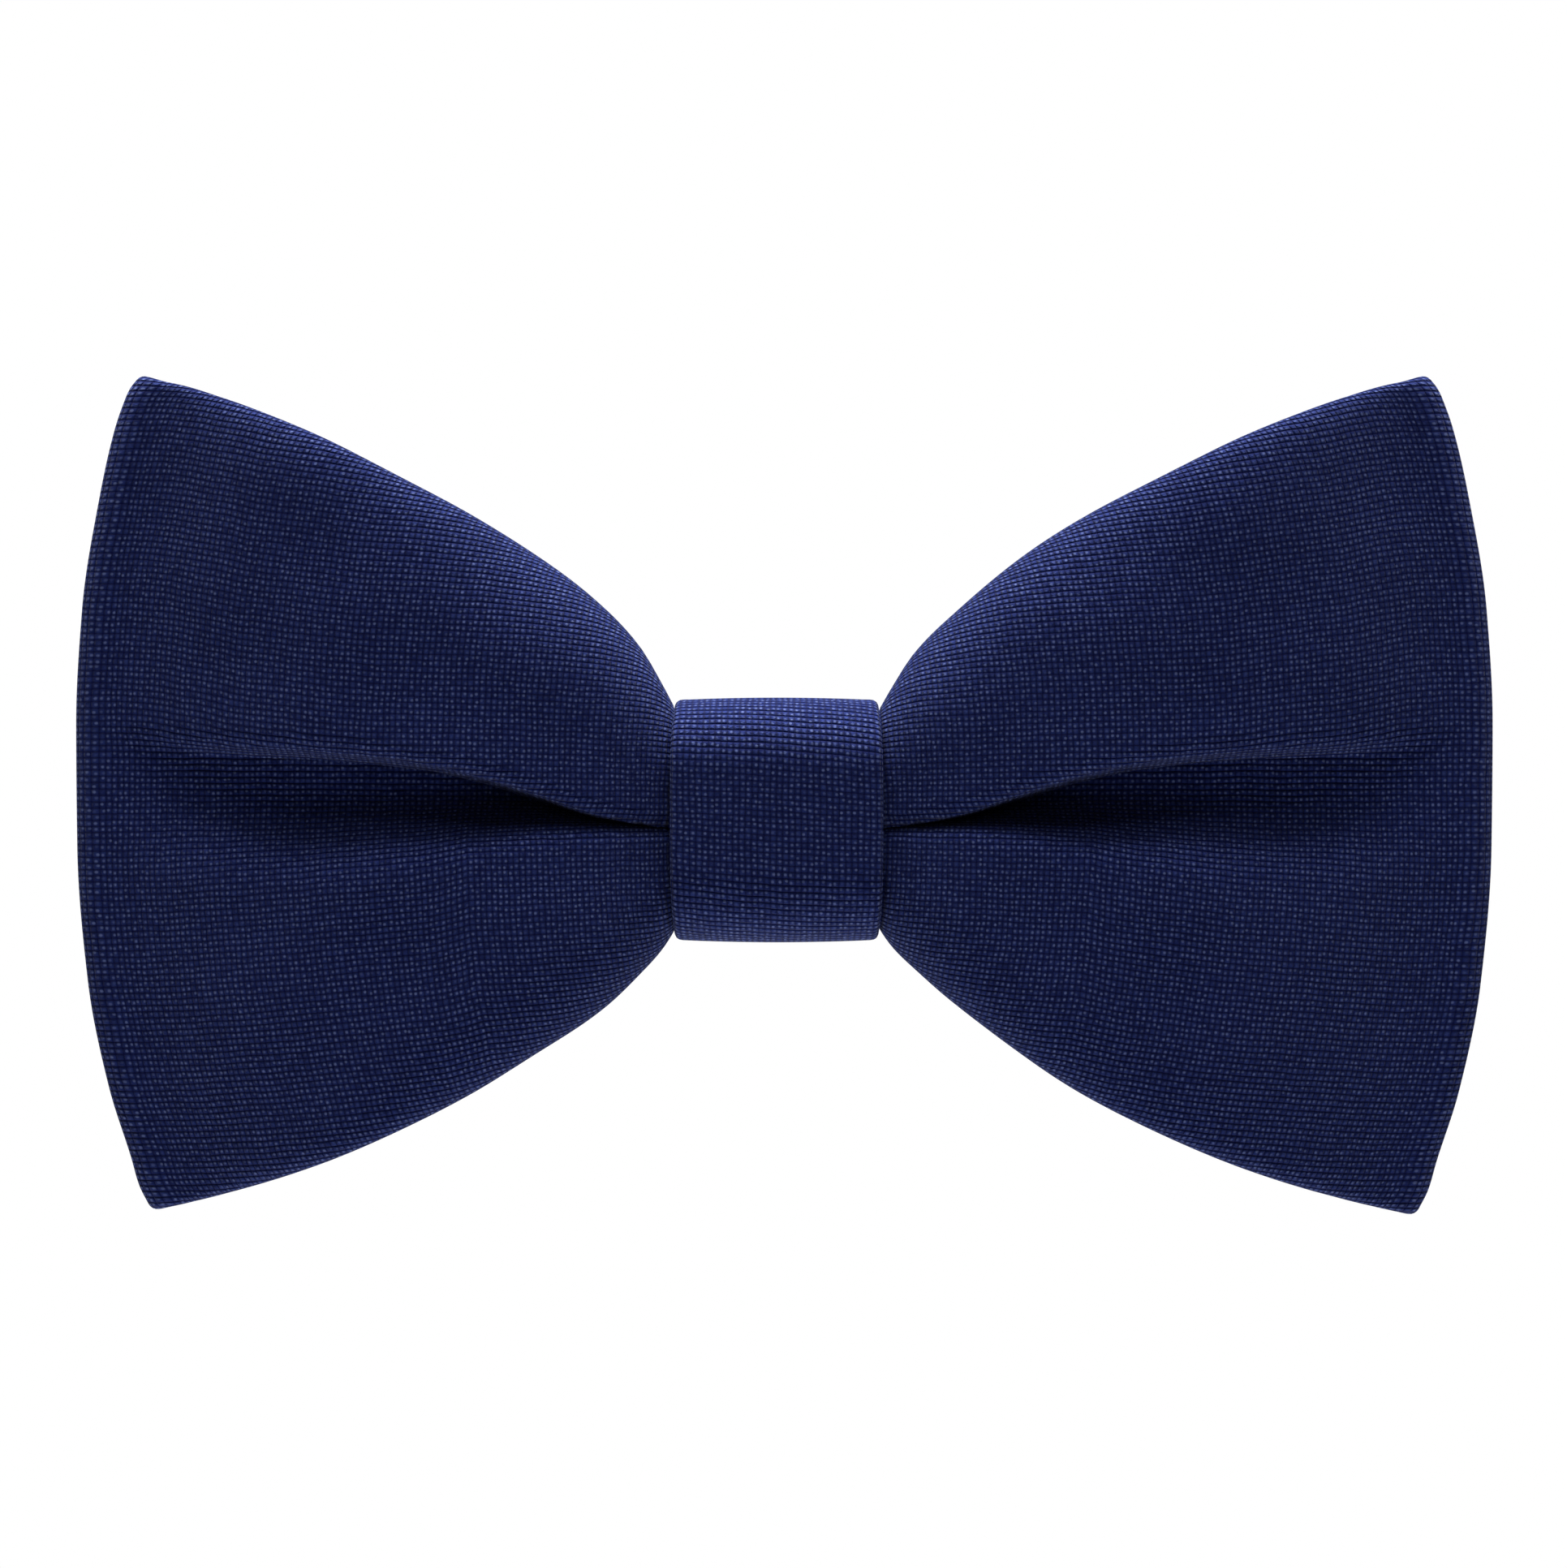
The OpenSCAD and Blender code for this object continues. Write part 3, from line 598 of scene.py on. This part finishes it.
def layer(v, a, face, side):
    """Middle of one layer. v runs from the bow's middle to the fold, a from -1 at the bottom
    edge to 1 at the top edge, and face is 1 in front and -1 behind."""
    t = np.clip((v - WAIST_SHARE) / (1 - WAIST_SHARE), 0, 1)
    inside = v < WAIST_SHARE
    reach = END_REACH((a + 1) / 2) - FOLD_R - BOW_T / 2
    x = np.where(inside, WAIST_X * v / WAIST_SHARE, lerp(WAIST_X, reach * SIDE_LENGTH[side], t))
    top_x = np.where(inside, x, lerp(WAIST_X, float(END_REACH(1.0)) - FOLD_R - BOW_T / 2, t))
    low_x = np.where(inside, x, lerp(WAIST_X, float(END_REACH(0.0)) - FOLD_R - BOW_T / 2, t))
    pleat = PLEAT_Z(t)
    edge = np.where(a > 0, edge_height(top_x, TOP_EDGE), -edge_height(low_x, BOTTOM_EDGE))
    stretch = np.where(a > 0, SIDE_TOP[side], SIDE_BOTTOM[side])
    edge = edge * lerp(1, stretch, np.minimum(t * 3, 1))     # over the first third of the wing
    bulge = np.exp(-((t - SHOULDER_AT) / SHOULDER_SPREAD) ** 2)
    edge = edge + np.sign(a) * SIDE_SHOULDER[side] * bulge
    z = lerp(pleat, edge, np.abs(a))
    off_pleat = np.abs(z - pleat)
    off_edge = np.abs(edge - z)
    wall = np.where(a > 0, UPPER_WALL(t), LOWER_WALL(t))
    drop = np.where(a > 0, lip_drop(off_pleat / wall), trough_drop(off_pleat / wall, LOWER_FLOOR))
    roll = np.where(a > 0, TOP_ROLL(t) * quarter_drop(off_edge / TOP_WIDTH(t)),
                    BOTTOM_ROLL(t) * quarter_drop(off_edge / BOTTOM_WIDTH(t)))
    if face > 0:
        level = WAIST_DEPTH + FRONT_CREST(t) - PLEAT_DEPTH(t) * drop - roll
        least = lerp(CLEARANCE, FOLD_R, t)
    else:
        level = WAIST_DEPTH + BACK_CREST(t) - BACK_PLEAT(t) * drop - BACK_ROLL * roll
        least = lerp(BACK_CLEARANCE, FOLD_R, t)
    level = least + np.logaddexp(0, (level - least) * CLEARANCE_EDGE) / CLEARANCE_EDGE
    level = np.where(t < 1, lerp(level, FOLD_R, t ** FOLD_ONSET), FOLD_R)
    swell = np.sin(np.pi * np.clip(t, 0, 1)) ** 0.5
    level = level + swell * ripples(side * x + BACK_SHIFT * (face < 0), z)
    return np.stack([side * x, BOW_Y - face * level, z + 0 * x], -1)


def half_band(side, trim=0.0):
    """Middle surface of one half of the band, from the middle of the front to the back seam,
    or ending trim short of the seam."""
    spread = np.linspace(-1, 1, COLUMNS)
    a = np.sign(spread) * (1 - np.cos(np.pi * np.abs(spread))) / 2
    a = lerp(spread, a, EDGE_COLUMNS)[None, :]
    inner = np.linspace(0, WAIST_SHARE, WAIST_ROWS + 1)[:-1]
    outer = WAIST_SHARE + (1 - WAIST_SHARE) * np.linspace(0, 1, WING_ROWS) ** ROW_CROWDING
    v = np.concatenate([inner, outer])[:, None]
    front = layer(v, a, 1, side)
    last = layer(np.array([[1.0]]), a, 1, side)
    turn = np.pi * np.arange(1, FOLD_ROWS + 1)[:, None] / (FOLD_ROWS + 1)
    fold = np.repeat(last, len(turn), 0)
    fold[..., 0] += side * FOLD_R * np.sin(turn)
    fold[..., 1] = BOW_Y - FOLD_R * np.cos(turn)
    fold[..., 2] *= 1 + END_FAN * np.sin(turn)
    start = WAIST_SHARE * SEAM / WAIST_X + trim
    behind_v = np.concatenate([outer[::-2], inner[inner > start][::-1], [start]])[:, None]
    back = layer(behind_v, a, -1, side)
    return np.concatenate([front, fold, back])


def wing_share(points):
    """How far along its wing each row of the band lies, from 0 at the knot to 1 at the fold."""
    x = np.abs(points[:, points.shape[1] // 2, 0])
    return np.clip((x - WAIST_X) / (FOLD_X - WAIST_X), 0, 1)


def row_lengths(points):
    """Lengths across the band from its middle line, less what the pleat takes in, so that the
    rows of the weave stay nearly level on both sides of it."""
    n, m = points.shape[:2]
    lengths = arc_lengths(np.swapaxes(points, 0, 1)).T
    mid_column = slice(m // 2, m // 2 + 1)
    middle = points[:, mid_column, 2]
    upper = (np.arange(m) > m // 2) == (points[0, -1, 2] > points[0, 0, 2])
    off = points[..., 2] - middle
    off = np.where(upper, np.maximum(off, 0), np.minimum(off, 0))
    spare = np.abs(lengths - lengths[:, mid_column]) - np.abs(off)
    t = wing_share(points)
    rows = np.zeros_like(lengths)
    for i in range(n):
        for half, up, wall in ((upper, 1, UPPER_WALL(t[i])), (~upper, -1, LOWER_WALL(t[i]))):
            d = np.abs(off[i][half])
            order = np.argsort(d)
            in_pleat = np.interp(np.minimum(d, wall + LIP_MARGIN), d[order], spare[i][half][order])
            whole = max(float(in_pleat.max()), 0.01)
            kept = min(1.0, PLEAT_SLACK(t[i]) / whole)
            rows[i][half] = middle[i] + up * (d + spare[i][half] - in_pleat * (1 - kept))
    return rows


def bow_surface(trim=0.0):
    """Middle surface of the whole band, from the back seam round both wings to the seam again."""
    return np.concatenate([half_band(-1, trim)[:0:-1], half_band(1, trim)])


def build_bow():
    mid = bow_surface()[:, ::-1]
    pitch = ROW_PITCH(wing_share(mid))[:, None]
    across = -row_lengths(mid + BOW_T / 2 * outward(mid)[1]) / pitch
    lobe = mid.shape[1] // 4
    along = (arc_lengths(mid[:, lobe]) + arc_lengths(mid[:, -lobe])) / 2
    cloth = band("bow_cloth", mid, BOW_T / 2, CLOTH, along=along, across=across, turn_points=9)
    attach(cloth, "bow")
    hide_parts("bow_shell")
    inner_mid = bow_surface(LINING_TRIM)[:, LINING_INSET:-LINING_INSET]
    core = band("bow_lining", inner_mid, LINING_HALF, LINING)
    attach(core, "bow")
    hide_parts("bow_interlining")


# ---- The knot ----
KNOT_FRONT_R = 6.0
KNOT_BACK_R = 2.6
KNOT_PULL = 0.45         # how much narrower the wrap is at its top and bottom
KNOT_CROWN = 0.35        # how far its front swells in the middle, over its edges
KNOT_SINK = 0.12         # how far the front's edges lie inside the CAD's face
KNOT_SWELL_IN = 6        # depth over which the swelling grows, from the knot's middle forward
KNOT_TILT = 0.06         # slope of the wrap's rows
KNOT_COLUMNS = 31
KNOT_ROWS = 200
KNOT_LINING_MARGIN = 1.6     # how far inside the wrap's edges its interlining ends
KNOT_LINING_HALF = 0.2
CORNER_POINTS = 16


def knot_outline(inset):
    """Points (y, z) around the knot, evenly spaced, from the middle of the back."""
    centre = KNOT_BACK - KNOT_D / 2
    w, h = KNOT_D / 2 - inset, KNOT_H / 2 - inset
    corners = [(1, -1, KNOT_BACK_R), (-1, -1, KNOT_FRONT_R),
               (-1, 1, KNOT_FRONT_R), (1, 1, KNOT_BACK_R)]
    points = [(w, 0)]
    for k, (sy, sz, radius) in enumerate(corners):
        r = radius - inset
        for turn in np.linspace(0, 90, CORNER_POINTS):
            angle = math.radians(-90 * k - turn)
            points.append((sy * (w - r) + r * math.cos(angle), sz * (h - r) + r * math.sin(angle)))
    points = np.array(points + [(w, 0)])
    run = arc_lengths(points)
    at = np.linspace(0, run[-1], KNOT_ROWS, endpoint=False)
    y = np.interp(at, run, points[:, 0])
    z = np.interp(at, run, points[:, 1])
    return centre + y, z


def knot_surface(inset, margin):
    """A loop around the knot at that depth, ending margin inside the wrap's edges."""
    y, z = knot_outline(inset)
    spread = np.linspace(-1, 1, KNOT_COLUMNS)
    half = KNOT_W / 2 - margin - KNOT_PULL * (z / (KNOT_H / 2)) ** 4
    x = half[:, None] * spread[None]
    swell = KNOT_CROWN * (1 - spread[None] ** 2) - KNOT_SINK
    centre = np.array([KNOT_BACK - KNOT_D / 2, 0])
    out = unit(np.stack([y, z], -1) - centre)
    front = np.clip((centre[0] - y) / KNOT_SWELL_IN, 0, 1)[:, None]
    return np.stack([
        x,
        y[:, None] + swell * front * out[:, :1],
        z[:, None] + swell * front * out[:, 1:],
    ], -1)


def build_knot():
    mid = knot_surface(KNOT_T / 2, KNOT_T / 2)
    middle = KNOT_COLUMNS // 2
    line = mid[:, middle]
    along = arc_lengths(np.concatenate([line, line[:1]]))
    lengths = arc_lengths(mid[KNOT_ROWS // 4])
    across = np.tile(lengths - lengths[middle], (KNOT_ROWS, 1))
    cloth = band("knot_cloth", mid, KNOT_T / 2, CLOTH, closed=True, square=0.8,
                 along=along, across=across)
    tilt_weave(cloth)
    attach(cloth, "bow")
    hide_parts("knot_wrap")
    inner_mid = knot_surface(KNOT_T / 2, KNOT_LINING_MARGIN)
    core = band("knot_lining", inner_mid, KNOT_LINING_HALF, LINING, closed=True)
    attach(core, "bow")
    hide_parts("knot_interlining")


def tilt_weave(cloth):
    """Turns the knot's weave a quarter turn and gives its rows a small slope, as the wrap is
    pulled round at a slant."""
    corners = cloth.data.uv_layers["weave"].data
    uv = np.zeros(len(corners) * 2, np.float32)
    corners.foreach_get("uv", uv)
    u, v = uv.reshape(-1, 2).T
    corners.foreach_set("uv", np.stack([v, u + KNOT_TILT * v], -1).ravel())


# ---- The neck band ----
def polar(r, a):
    """A point at radius r and angle a, in degrees from the front, on the right side."""
    a = np.radians(a)
    return np.stack([r * np.sin(a), -r * np.cos(a)], -1)


def arc(r, a0, a1, step=1.0):
    """Points along the circle of radius r, from angle a0 to a1."""
    count = max(3, int(abs(a1 - a0) / step) + 1)
    a = np.linspace(a0, a1, count)
    return polar(np.full(count, float(r)), a)


def around_bar(bar_r, bar_a, radius, start, end):
    """Points round a bar. The turn is 0 on the neck's side, 90 ahead along the band and 180 outside."""
    turn = np.radians(np.linspace(start, end, 25))[:, None]
    out = polar(1.0, bar_a)
    return polar(bar_r, bar_a) + radius * (np.sin(turn) * heading(bar_a) - np.cos(turn) * out)


def ease_between(p0, d0, p1, d1, pull, count=12):
    """A smooth stretch from p0, leaving along d0, to p1, arriving along d1."""
    t = np.linspace(0, 1, count + 2)[1:-1, None]
    return ((2 * t ** 3 - 3 * t ** 2 + 1) * p0 + (t ** 3 - 2 * t ** 2 + t) * d0 * pull
            + (3 * t ** 2 - 2 * t ** 3) * p1 + (t ** 3 - t ** 2) * d1 * pull)


def heading(a):
    """Unit direction along the band at angle a, away from the knot."""
    return np.array([math.cos(math.radians(a)), math.sin(math.radians(a))])


BEND = 0.9               # how far on each side of the flex line a strap bends


def lead_path():
    """From inside the knot, over the flex line and straight to the neck."""
    tab = np.stack([np.linspace(1, HINGE[0] - BEND, 12), np.full(12, HINGE[1])], -1)
    touch = polar(STRAP_MID, CONTACT)
    leave = np.array(HINGE) + BEND * heading(CONTACT)
    bend = ease_between(tab[-1], np.array([1.0, 0]), leave, heading(CONTACT), 2 * BEND, 7)
    straight = lerp(leave, touch, np.linspace(0, 1, 16)[:-1, None])
    return np.concatenate([tab, bend, straight])


def left_path():
    """The left strap: round the ring's bar and back along its own outer side."""
    ring = around_bar(RING_BAR, LEFT_END, RING_FOLD, 0, FOLD_TURN)
    tangent = unit(ring[-1] - ring[-2])
    lands = LEFT_END - LEFT_TAIL[0]
    back = ease_between(ring[-1], tangent, polar(LEFT_TAIL_R, lands), -heading(lands), 3.0)
    tail = arc(LEFT_TAIL_R, lands, LEFT_END - LEFT_TAIL[1])
    return np.concatenate([lead_path(), arc(STRAP_MID, CONTACT, LEFT_END - 0.5), ring, back, tail])


def ramp_path():
    """The right strap's climb to its outer layer."""
    share = np.linspace(0, 1, 14)[1:-1]
    r = lerp(STRAP_MID, OUTER_MID, (1 - np.cos(np.pi * share)) / 2)
    return polar(r, lerp(RAMP[0], RAMP[1], share))


def right_path():
    """The right strap: out over the slider, round the hook's bar and back to the splice."""
    return np.concatenate([
        lead_path(),
        arc(STRAP_MID, CONTACT, RAMP[0]),
        ramp_path(),
        arc(OUTER_MID, RAMP[1], RIGHT_END - 0.5),
        around_bar(HOOK_BAR, RIGHT_END, HOOK_FOLD, 180, 0),
        arc(STRAP_MID, RIGHT_END - 0.5, SPLICE, 0.5),
    ])


def adjuster_path():
    """From the splice to the slider, round its middle bar and back over itself."""
    loop = around_bar(SLIDER_BAR, SLIDER_AT, SLIDER_FOLD, 0, -FOLD_TURN)
    tangent = unit(loop[-1] - loop[-2])
    lands = SLIDER_AT + LOOP_TAIL[0]
    over = ease_between(loop[-1], tangent, polar(LOOP_TAIL_R, lands), heading(lands), 1.6, 8)
    tail = arc(LOOP_TAIL_R, lands, SLIDER_AT + LOOP_TAIL[1], 0.5)
    return np.concatenate([arc(STRAP_MID, SPLICE, SLIDER_AT + 0.5), loop, over, tail])


STRAP_COLUMNS = 17
SAME_POINT = 0.02        # points of a path closer than this are one point


def strap(name, path, side, width=STRAP_W, half=STRAP_T / 2, material=CLOTH, start=0.0):
    """A flat woven strap along a path in the XY plane, and its length. start is where its
    weave begins, in mm."""
    path = path * np.array([side, 1.0])
    keep = np.concatenate([[True], np.linalg.norm(np.diff(path, axis=0), axis=-1) > SAME_POINT])
    path = path[keep]
    z = (width / 2 - half) * np.linspace(-1, 1, STRAP_COLUMNS) * side
    mid = np.concatenate([
        np.repeat(path[:, None], len(z), 1),
        np.broadcast_to(z[None, :, None], (len(path), len(z), 1)),
    ], -1)
    along = start + arc_lengths(path)
    across = np.tile(z * side, (len(path), 1))
    made = band(name, mid, half, material, along=along, across=across)
    return made, float(along[-1] - start)


def build_straps():
    for side, body, path, nodes in (
            (-1, "left_strap", left_path(), ["left_strap_tab", "left_strap"]),
            (1, "right_strap", right_path(), ["right_strap_tab", "right_strap"])):
        made, length = strap(body + "_cloth", path, side)
        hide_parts(*nodes)
        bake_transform(made)
    made, length = strap("adjuster_cloth", adjuster_path(), 1, start=length)
    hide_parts("adjuster_return", "adjuster_loop")
    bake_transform(made)


# ---- Stitches ----
STITCH_RINGS = 11
STITCH_SIDES = 8
STITCH_DIP = 0.22        # how far a stitch's ends go in below its middle


def stitches(name, spans, body, node, radius=0.2):
    """Short arched threads. Each span is (start, end, outward direction), in mm."""
    points, faces, uvs = [], [], []
    rings, sides = STITCH_RINGS, STITCH_SIDES
    for start, end, out in spans:
        start, end, out = (np.array(p, float) for p in (start, end, out))
        t = np.linspace(0, 1, rings)[:, None]
        arch = np.sin(np.pi * t) ** 0.5
        line = lerp(start, end, t) + out * (STITCH_DIP * (arch - 1))
        thick = radius * (0.55 + 0.45 * arch)        # thinner at its ends
        ahead = unit(np.gradient(line, axis=0))
        across = unit(np.cross(ahead, out))
        up = np.cross(across, ahead)
        angle = 2 * np.pi * np.arange(sides) / sides
        round_up = np.cos(angle)[None, :, None] * up[:, None]
        round_across = np.sin(angle)[None, :, None] * across[:, None]
        tube = line[:, None] + thick[:, None] * (round_up + round_across)
        base = len(points) * rings * sides
        u = np.repeat(arc_lengths(line)[:, None], sides + 1, 1)
        v = np.tile(np.arange(sides + 1) / sides, (rings, 1))
        made, coords = grid(tube, np.stack([u, v], -1) / PITCH, False)
        faces += [[base + f for f in face] for face in made]
        uvs.append(coords)
        for row, order in ((0, 1), (rings - 1, -1)):
            faces.append([base + row * sides + k for k in range(sides)][::order])
            uvs.append(np.zeros((sides, 2)))
        points.append(tube.reshape(-1, 3))
    made = add_mesh(name, np.concatenate(points), faces, np.concatenate(uvs), THREAD)
    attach(made, body)
    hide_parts(node)


TACK_THREADS = 13
TACK_PITCH = 1.1
TACK_SLANT = 0.22        # how far a thread's ends lie above and below its middle
LEFT_TACK = (62.25, LEFT_END - 6.2)          # radius and angle of each row of threads
RIGHT_TACK = (64.85, RIGHT_END - 3.4)
LOOP_TACK = (62.2, SLIDER_AT + 3.2)


def tack_spans(r, a, side, length=2.4):
    """Threads side by side across a strap, slanting by turns, at radius r and angle a."""
    mirror = np.array([side, 1])
    middle = polar(r, a) * mirror
    ahead = heading(a) * mirror
    out = polar(1.0, a) * mirror
    spans = []
    for k in range(TACK_THREADS):
        z = (k - (TACK_THREADS - 1) / 2) * TACK_PITCH
        slant = TACK_SLANT * (1 if k % 2 else -1)
        start = (*(middle - ahead * length / 2), z - slant)
        end = (*(middle + ahead * length / 2), z + slant)
        spans.append((start, end, (*out, 0)))
    return spans


WHIP_HALF = np.array([1.5, 0, 0.3])          # from the middle of a whip stitch to its end
LADDER_HALF = np.array([0.2, 0.55, 0.55])    # the same for a ladder stitch
LADDER_PITCH = 1.4


def whip_spans():
    """Seven stitches over the butted ends of the bow's band, behind the waist."""
    seam = bow_surface()[-1]
    spans = []
    for k in range(-3, 4):
        middle = seam[len(seam) // 2 + 3 * k] * (0, 1, 1) + (0, BOW_T / 2 + 0.2, 0)
        spans.append((middle - WHIP_HALF, middle + WHIP_HALF, (0, 1, 0)))
    return spans


def ladder_spans():
    """Eleven stitches along the knot's lower edge behind, which close the wrap."""
    out = np.array([0, 1, -1]) / math.sqrt(2)
    centre = np.array([0, KNOT_BACK - KNOT_BACK_R, KNOT_BACK_R - KNOT_H / 2])
    spans = []
    for k in range(-5, 6):
        middle = centre + (k * LADDER_PITCH, 0, 0) + out * (KNOT_BACK_R + 0.02)
        spans.append((middle - LADDER_HALF, middle + LADDER_HALF, out))
    return spans


def build_stitches():
    stitches("bow_back_stitches", whip_spans(), "bow", "bow_back_seam")
    stitches("knot_ladder_stitches", ladder_spans(), "bow", "knot_back_stitches", radius=0.13)
    stitches("left_end_tack", tack_spans(*LEFT_TACK, -1), "left_strap", "left_end_bartack")
    stitches("right_end_tack", tack_spans(*RIGHT_TACK, 1), "right_strap", "right_end_bartack")
    stitches("adjuster_tack", tack_spans(*LOOP_TACK, 1, length=1.8), "slider", "adjuster_bartack")


# ---- Label ----
LABEL_HALF = 0.18        # half of its thickness
LABEL_R = 61.3           # radius of its middle about the neck
LABEL_AT = (62, 78)      # where it begins and ends on the left strap, in degrees


def build_label():
    path = arc(LABEL_R, *LABEL_AT, 0.5)
    made, length = strap("woven_label", path, -1, width=LABEL_W, half=LABEL_HALF, material=LABEL)
    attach(made, "left_strap")
    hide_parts("blank_label")


# ---- Kept CAD nodes ----
METAL_EDGE = 0.15        # bevel on the edges of the metal


def dress_cad_nodes():
    """The CAD solids that stay get their material here."""
    looks = {
        "gather_thread": THREAD,
        "tab_stitches": THREAD,
        "left_strap_core": LINING,
        "right_strap_core": LINING,
        "ring": NICKEL,
        "hook": NICKEL,
        "slider_frame": NICKEL,
    }
    for name, material in looks.items():
        node = frame["nodes"][name]
        for slot in node.material_slots:
            slot.material = material
        if material is NICKEL:
            bevel = node.modifiers.new("soft_edges", "BEVEL")
            bevel.width = METAL_EDGE * MM
            bevel.segments = 2
            bevel.limit_method = "ANGLE"


# ---- Stage ----
def area_light(name, place, target, size, watts):
    """A round white light, size across, that points from place to target, in metres."""
    data = bpy.data.lights.new(name, "AREA")
    data.shape = "DISK"
    data.size = size
    data.energy = watts
    made = bpy.data.objects.new(name, data)
    bpy.context.scene.collection.objects.link(made)
    made.location = place
    aim = np.array(target) - np.array(place)
    made.rotation_mode = "QUATERNION"
    made.rotation_quaternion = Vector(aim).to_track_quat("-Z", "Y")


def build_world(soft, shine, seen):
    """An even pale surround: soft light on the object, a shine for its metal to reflect, and
    white behind it in view."""
    world = bpy.data.worlds.new("studio")
    bpy.context.scene.world = world
    world.use_nodes = True
    tree = world.node_tree
    back = tree.nodes["Background"]
    back.inputs["Color"].default_value = (1, 1, 1, 1)
    back.inputs["Strength"].default_value = soft
    path = tree.nodes.new("ShaderNodeLightPath")
    shader = back.outputs[0]
    for strength, rays in ((shine, "Is Glossy Ray"), (seen, "Is Camera Ray")):
        white = tree.nodes.new("ShaderNodeBackground")
        white.inputs["Color"].default_value = (1, 1, 1, 1)
        white.inputs["Strength"].default_value = strength
        blend = tree.nodes.new("ShaderNodeMixShader")
        tree.links.new(path.outputs[rays], blend.inputs[0])
        tree.links.new(shader, blend.inputs[1])
        tree.links.new(white.outputs[0], blend.inputs[2])
        shader = blend.outputs[0]
    tree.links.new(shader, tree.nodes["World Output"].inputs["Surface"])


FLOOR_Z = -0.17          # metres, low enough to stay out of the main view
FLOOR_R = 0.5            # metres from its middle to the rim, where it has faded out
FLOOR_FADE = 4.0         # how much more solid it is for each metre in from the rim, up to 1


def build_floor():
    """A plain pale floor that fades out at its rim, and is clear from below."""
    mesh = bpy.data.meshes.new("floor")
    corners = [(x * FLOOR_R, y * FLOOR_R, FLOOR_Z) for x, y in ((-1, -1), (1, -1), (1, 1), (-1, 1))]
    mesh.from_pydata(corners, [], [(0, 1, 2, 3)])
    made, tree, shader = new_material("floor_paper")
    place = tree.nodes.new("ShaderNodeTexCoord").outputs["Object"]
    grain = noise(tree, place, 400, 3.0)
    tree.links.new(mix_colour(tree, grain, (0.66, 0.66, 0.655), (0.72, 0.72, 0.715)),
                   shader.inputs["Base Color"])
    shader.inputs["Roughness"].default_value = 0.9
    split = tree.nodes.new("ShaderNodeSeparateXYZ")
    tree.links.new(place, split.inputs[0])
    x2 = product(tree, split.outputs["X"], split.outputs["X"])
    y2 = product(tree, split.outputs["Y"], split.outputs["Y"])
    away = math_node(tree, "SQRT", math_node(tree, "ADD", x2, y2))
    solid = scaled(tree, away, -FLOOR_FADE, FLOOR_FADE * FLOOR_R, clamp=True)
    below = tree.nodes.new("ShaderNodeNewGeometry").outputs["Backfacing"]
    above = math_node(tree, "SUBTRACT", 1.0, below)
    tree.links.new(product(tree, solid, above), shader.inputs["Alpha"])
    mesh.materials.append(made)
    floor = bpy.data.objects.new("floor", mesh)
    bpy.context.scene.collection.objects.link(floor)


# The view's middle and width, in metres. The width is measured in the plane at VIEW_Y.
VIEW_X = 0.000585
VIEW_Y = -0.075
VIEW_Z = 0.00306
VIEW_WIDTH = 0.1329
LENS = 150
SENSOR = 36


def build_camera():
    """Level with the bow, straight on, far enough off to flatten it as a product photo does."""
    data = bpy.data.cameras.new("camera")
    data.lens = LENS
    data.sensor_width = SENSOR
    made = bpy.data.objects.new("camera", data)
    bpy.context.scene.collection.objects.link(made)
    distance = VIEW_WIDTH * LENS / SENSOR
    made.location = (VIEW_X, VIEW_Y - distance, VIEW_Z)
    made.rotation_euler = (math.radians(90), 0, 0)
    bpy.context.scene.camera = made


# What the lights point at
BOW_AT = (0, -0.07, 0)
BAND_AT = (0, 0.02, 0)
# name, place, target, size (metres) and watts
LIGHTS = (
    ("top_front", (0, -0.38, 0.82), BOW_AT, 0.35, 1.5),
    ("overhead", (0, 0.065, 0.88), BOW_AT, 0.7, 26.5),
    ("front", (-0.15, -1.2, 0.25), BOW_AT, 0.5, 0.22),
    ("behind", (0.15, 1.2, 0.25), BAND_AT, 0.5, 0.22),
)


def build_lights():
    bpy.context.scene.view_settings.view_transform = "Standard"
    build_world(soft=0.013, shine=0.3, seen=1.0)
    for light in LIGHTS:
        area_light(*light)


build_camera()
build_lights()
build_floor()
build_bow()
build_knot()
build_straps()
build_stitches()
build_label()
dress_cad_nodes()
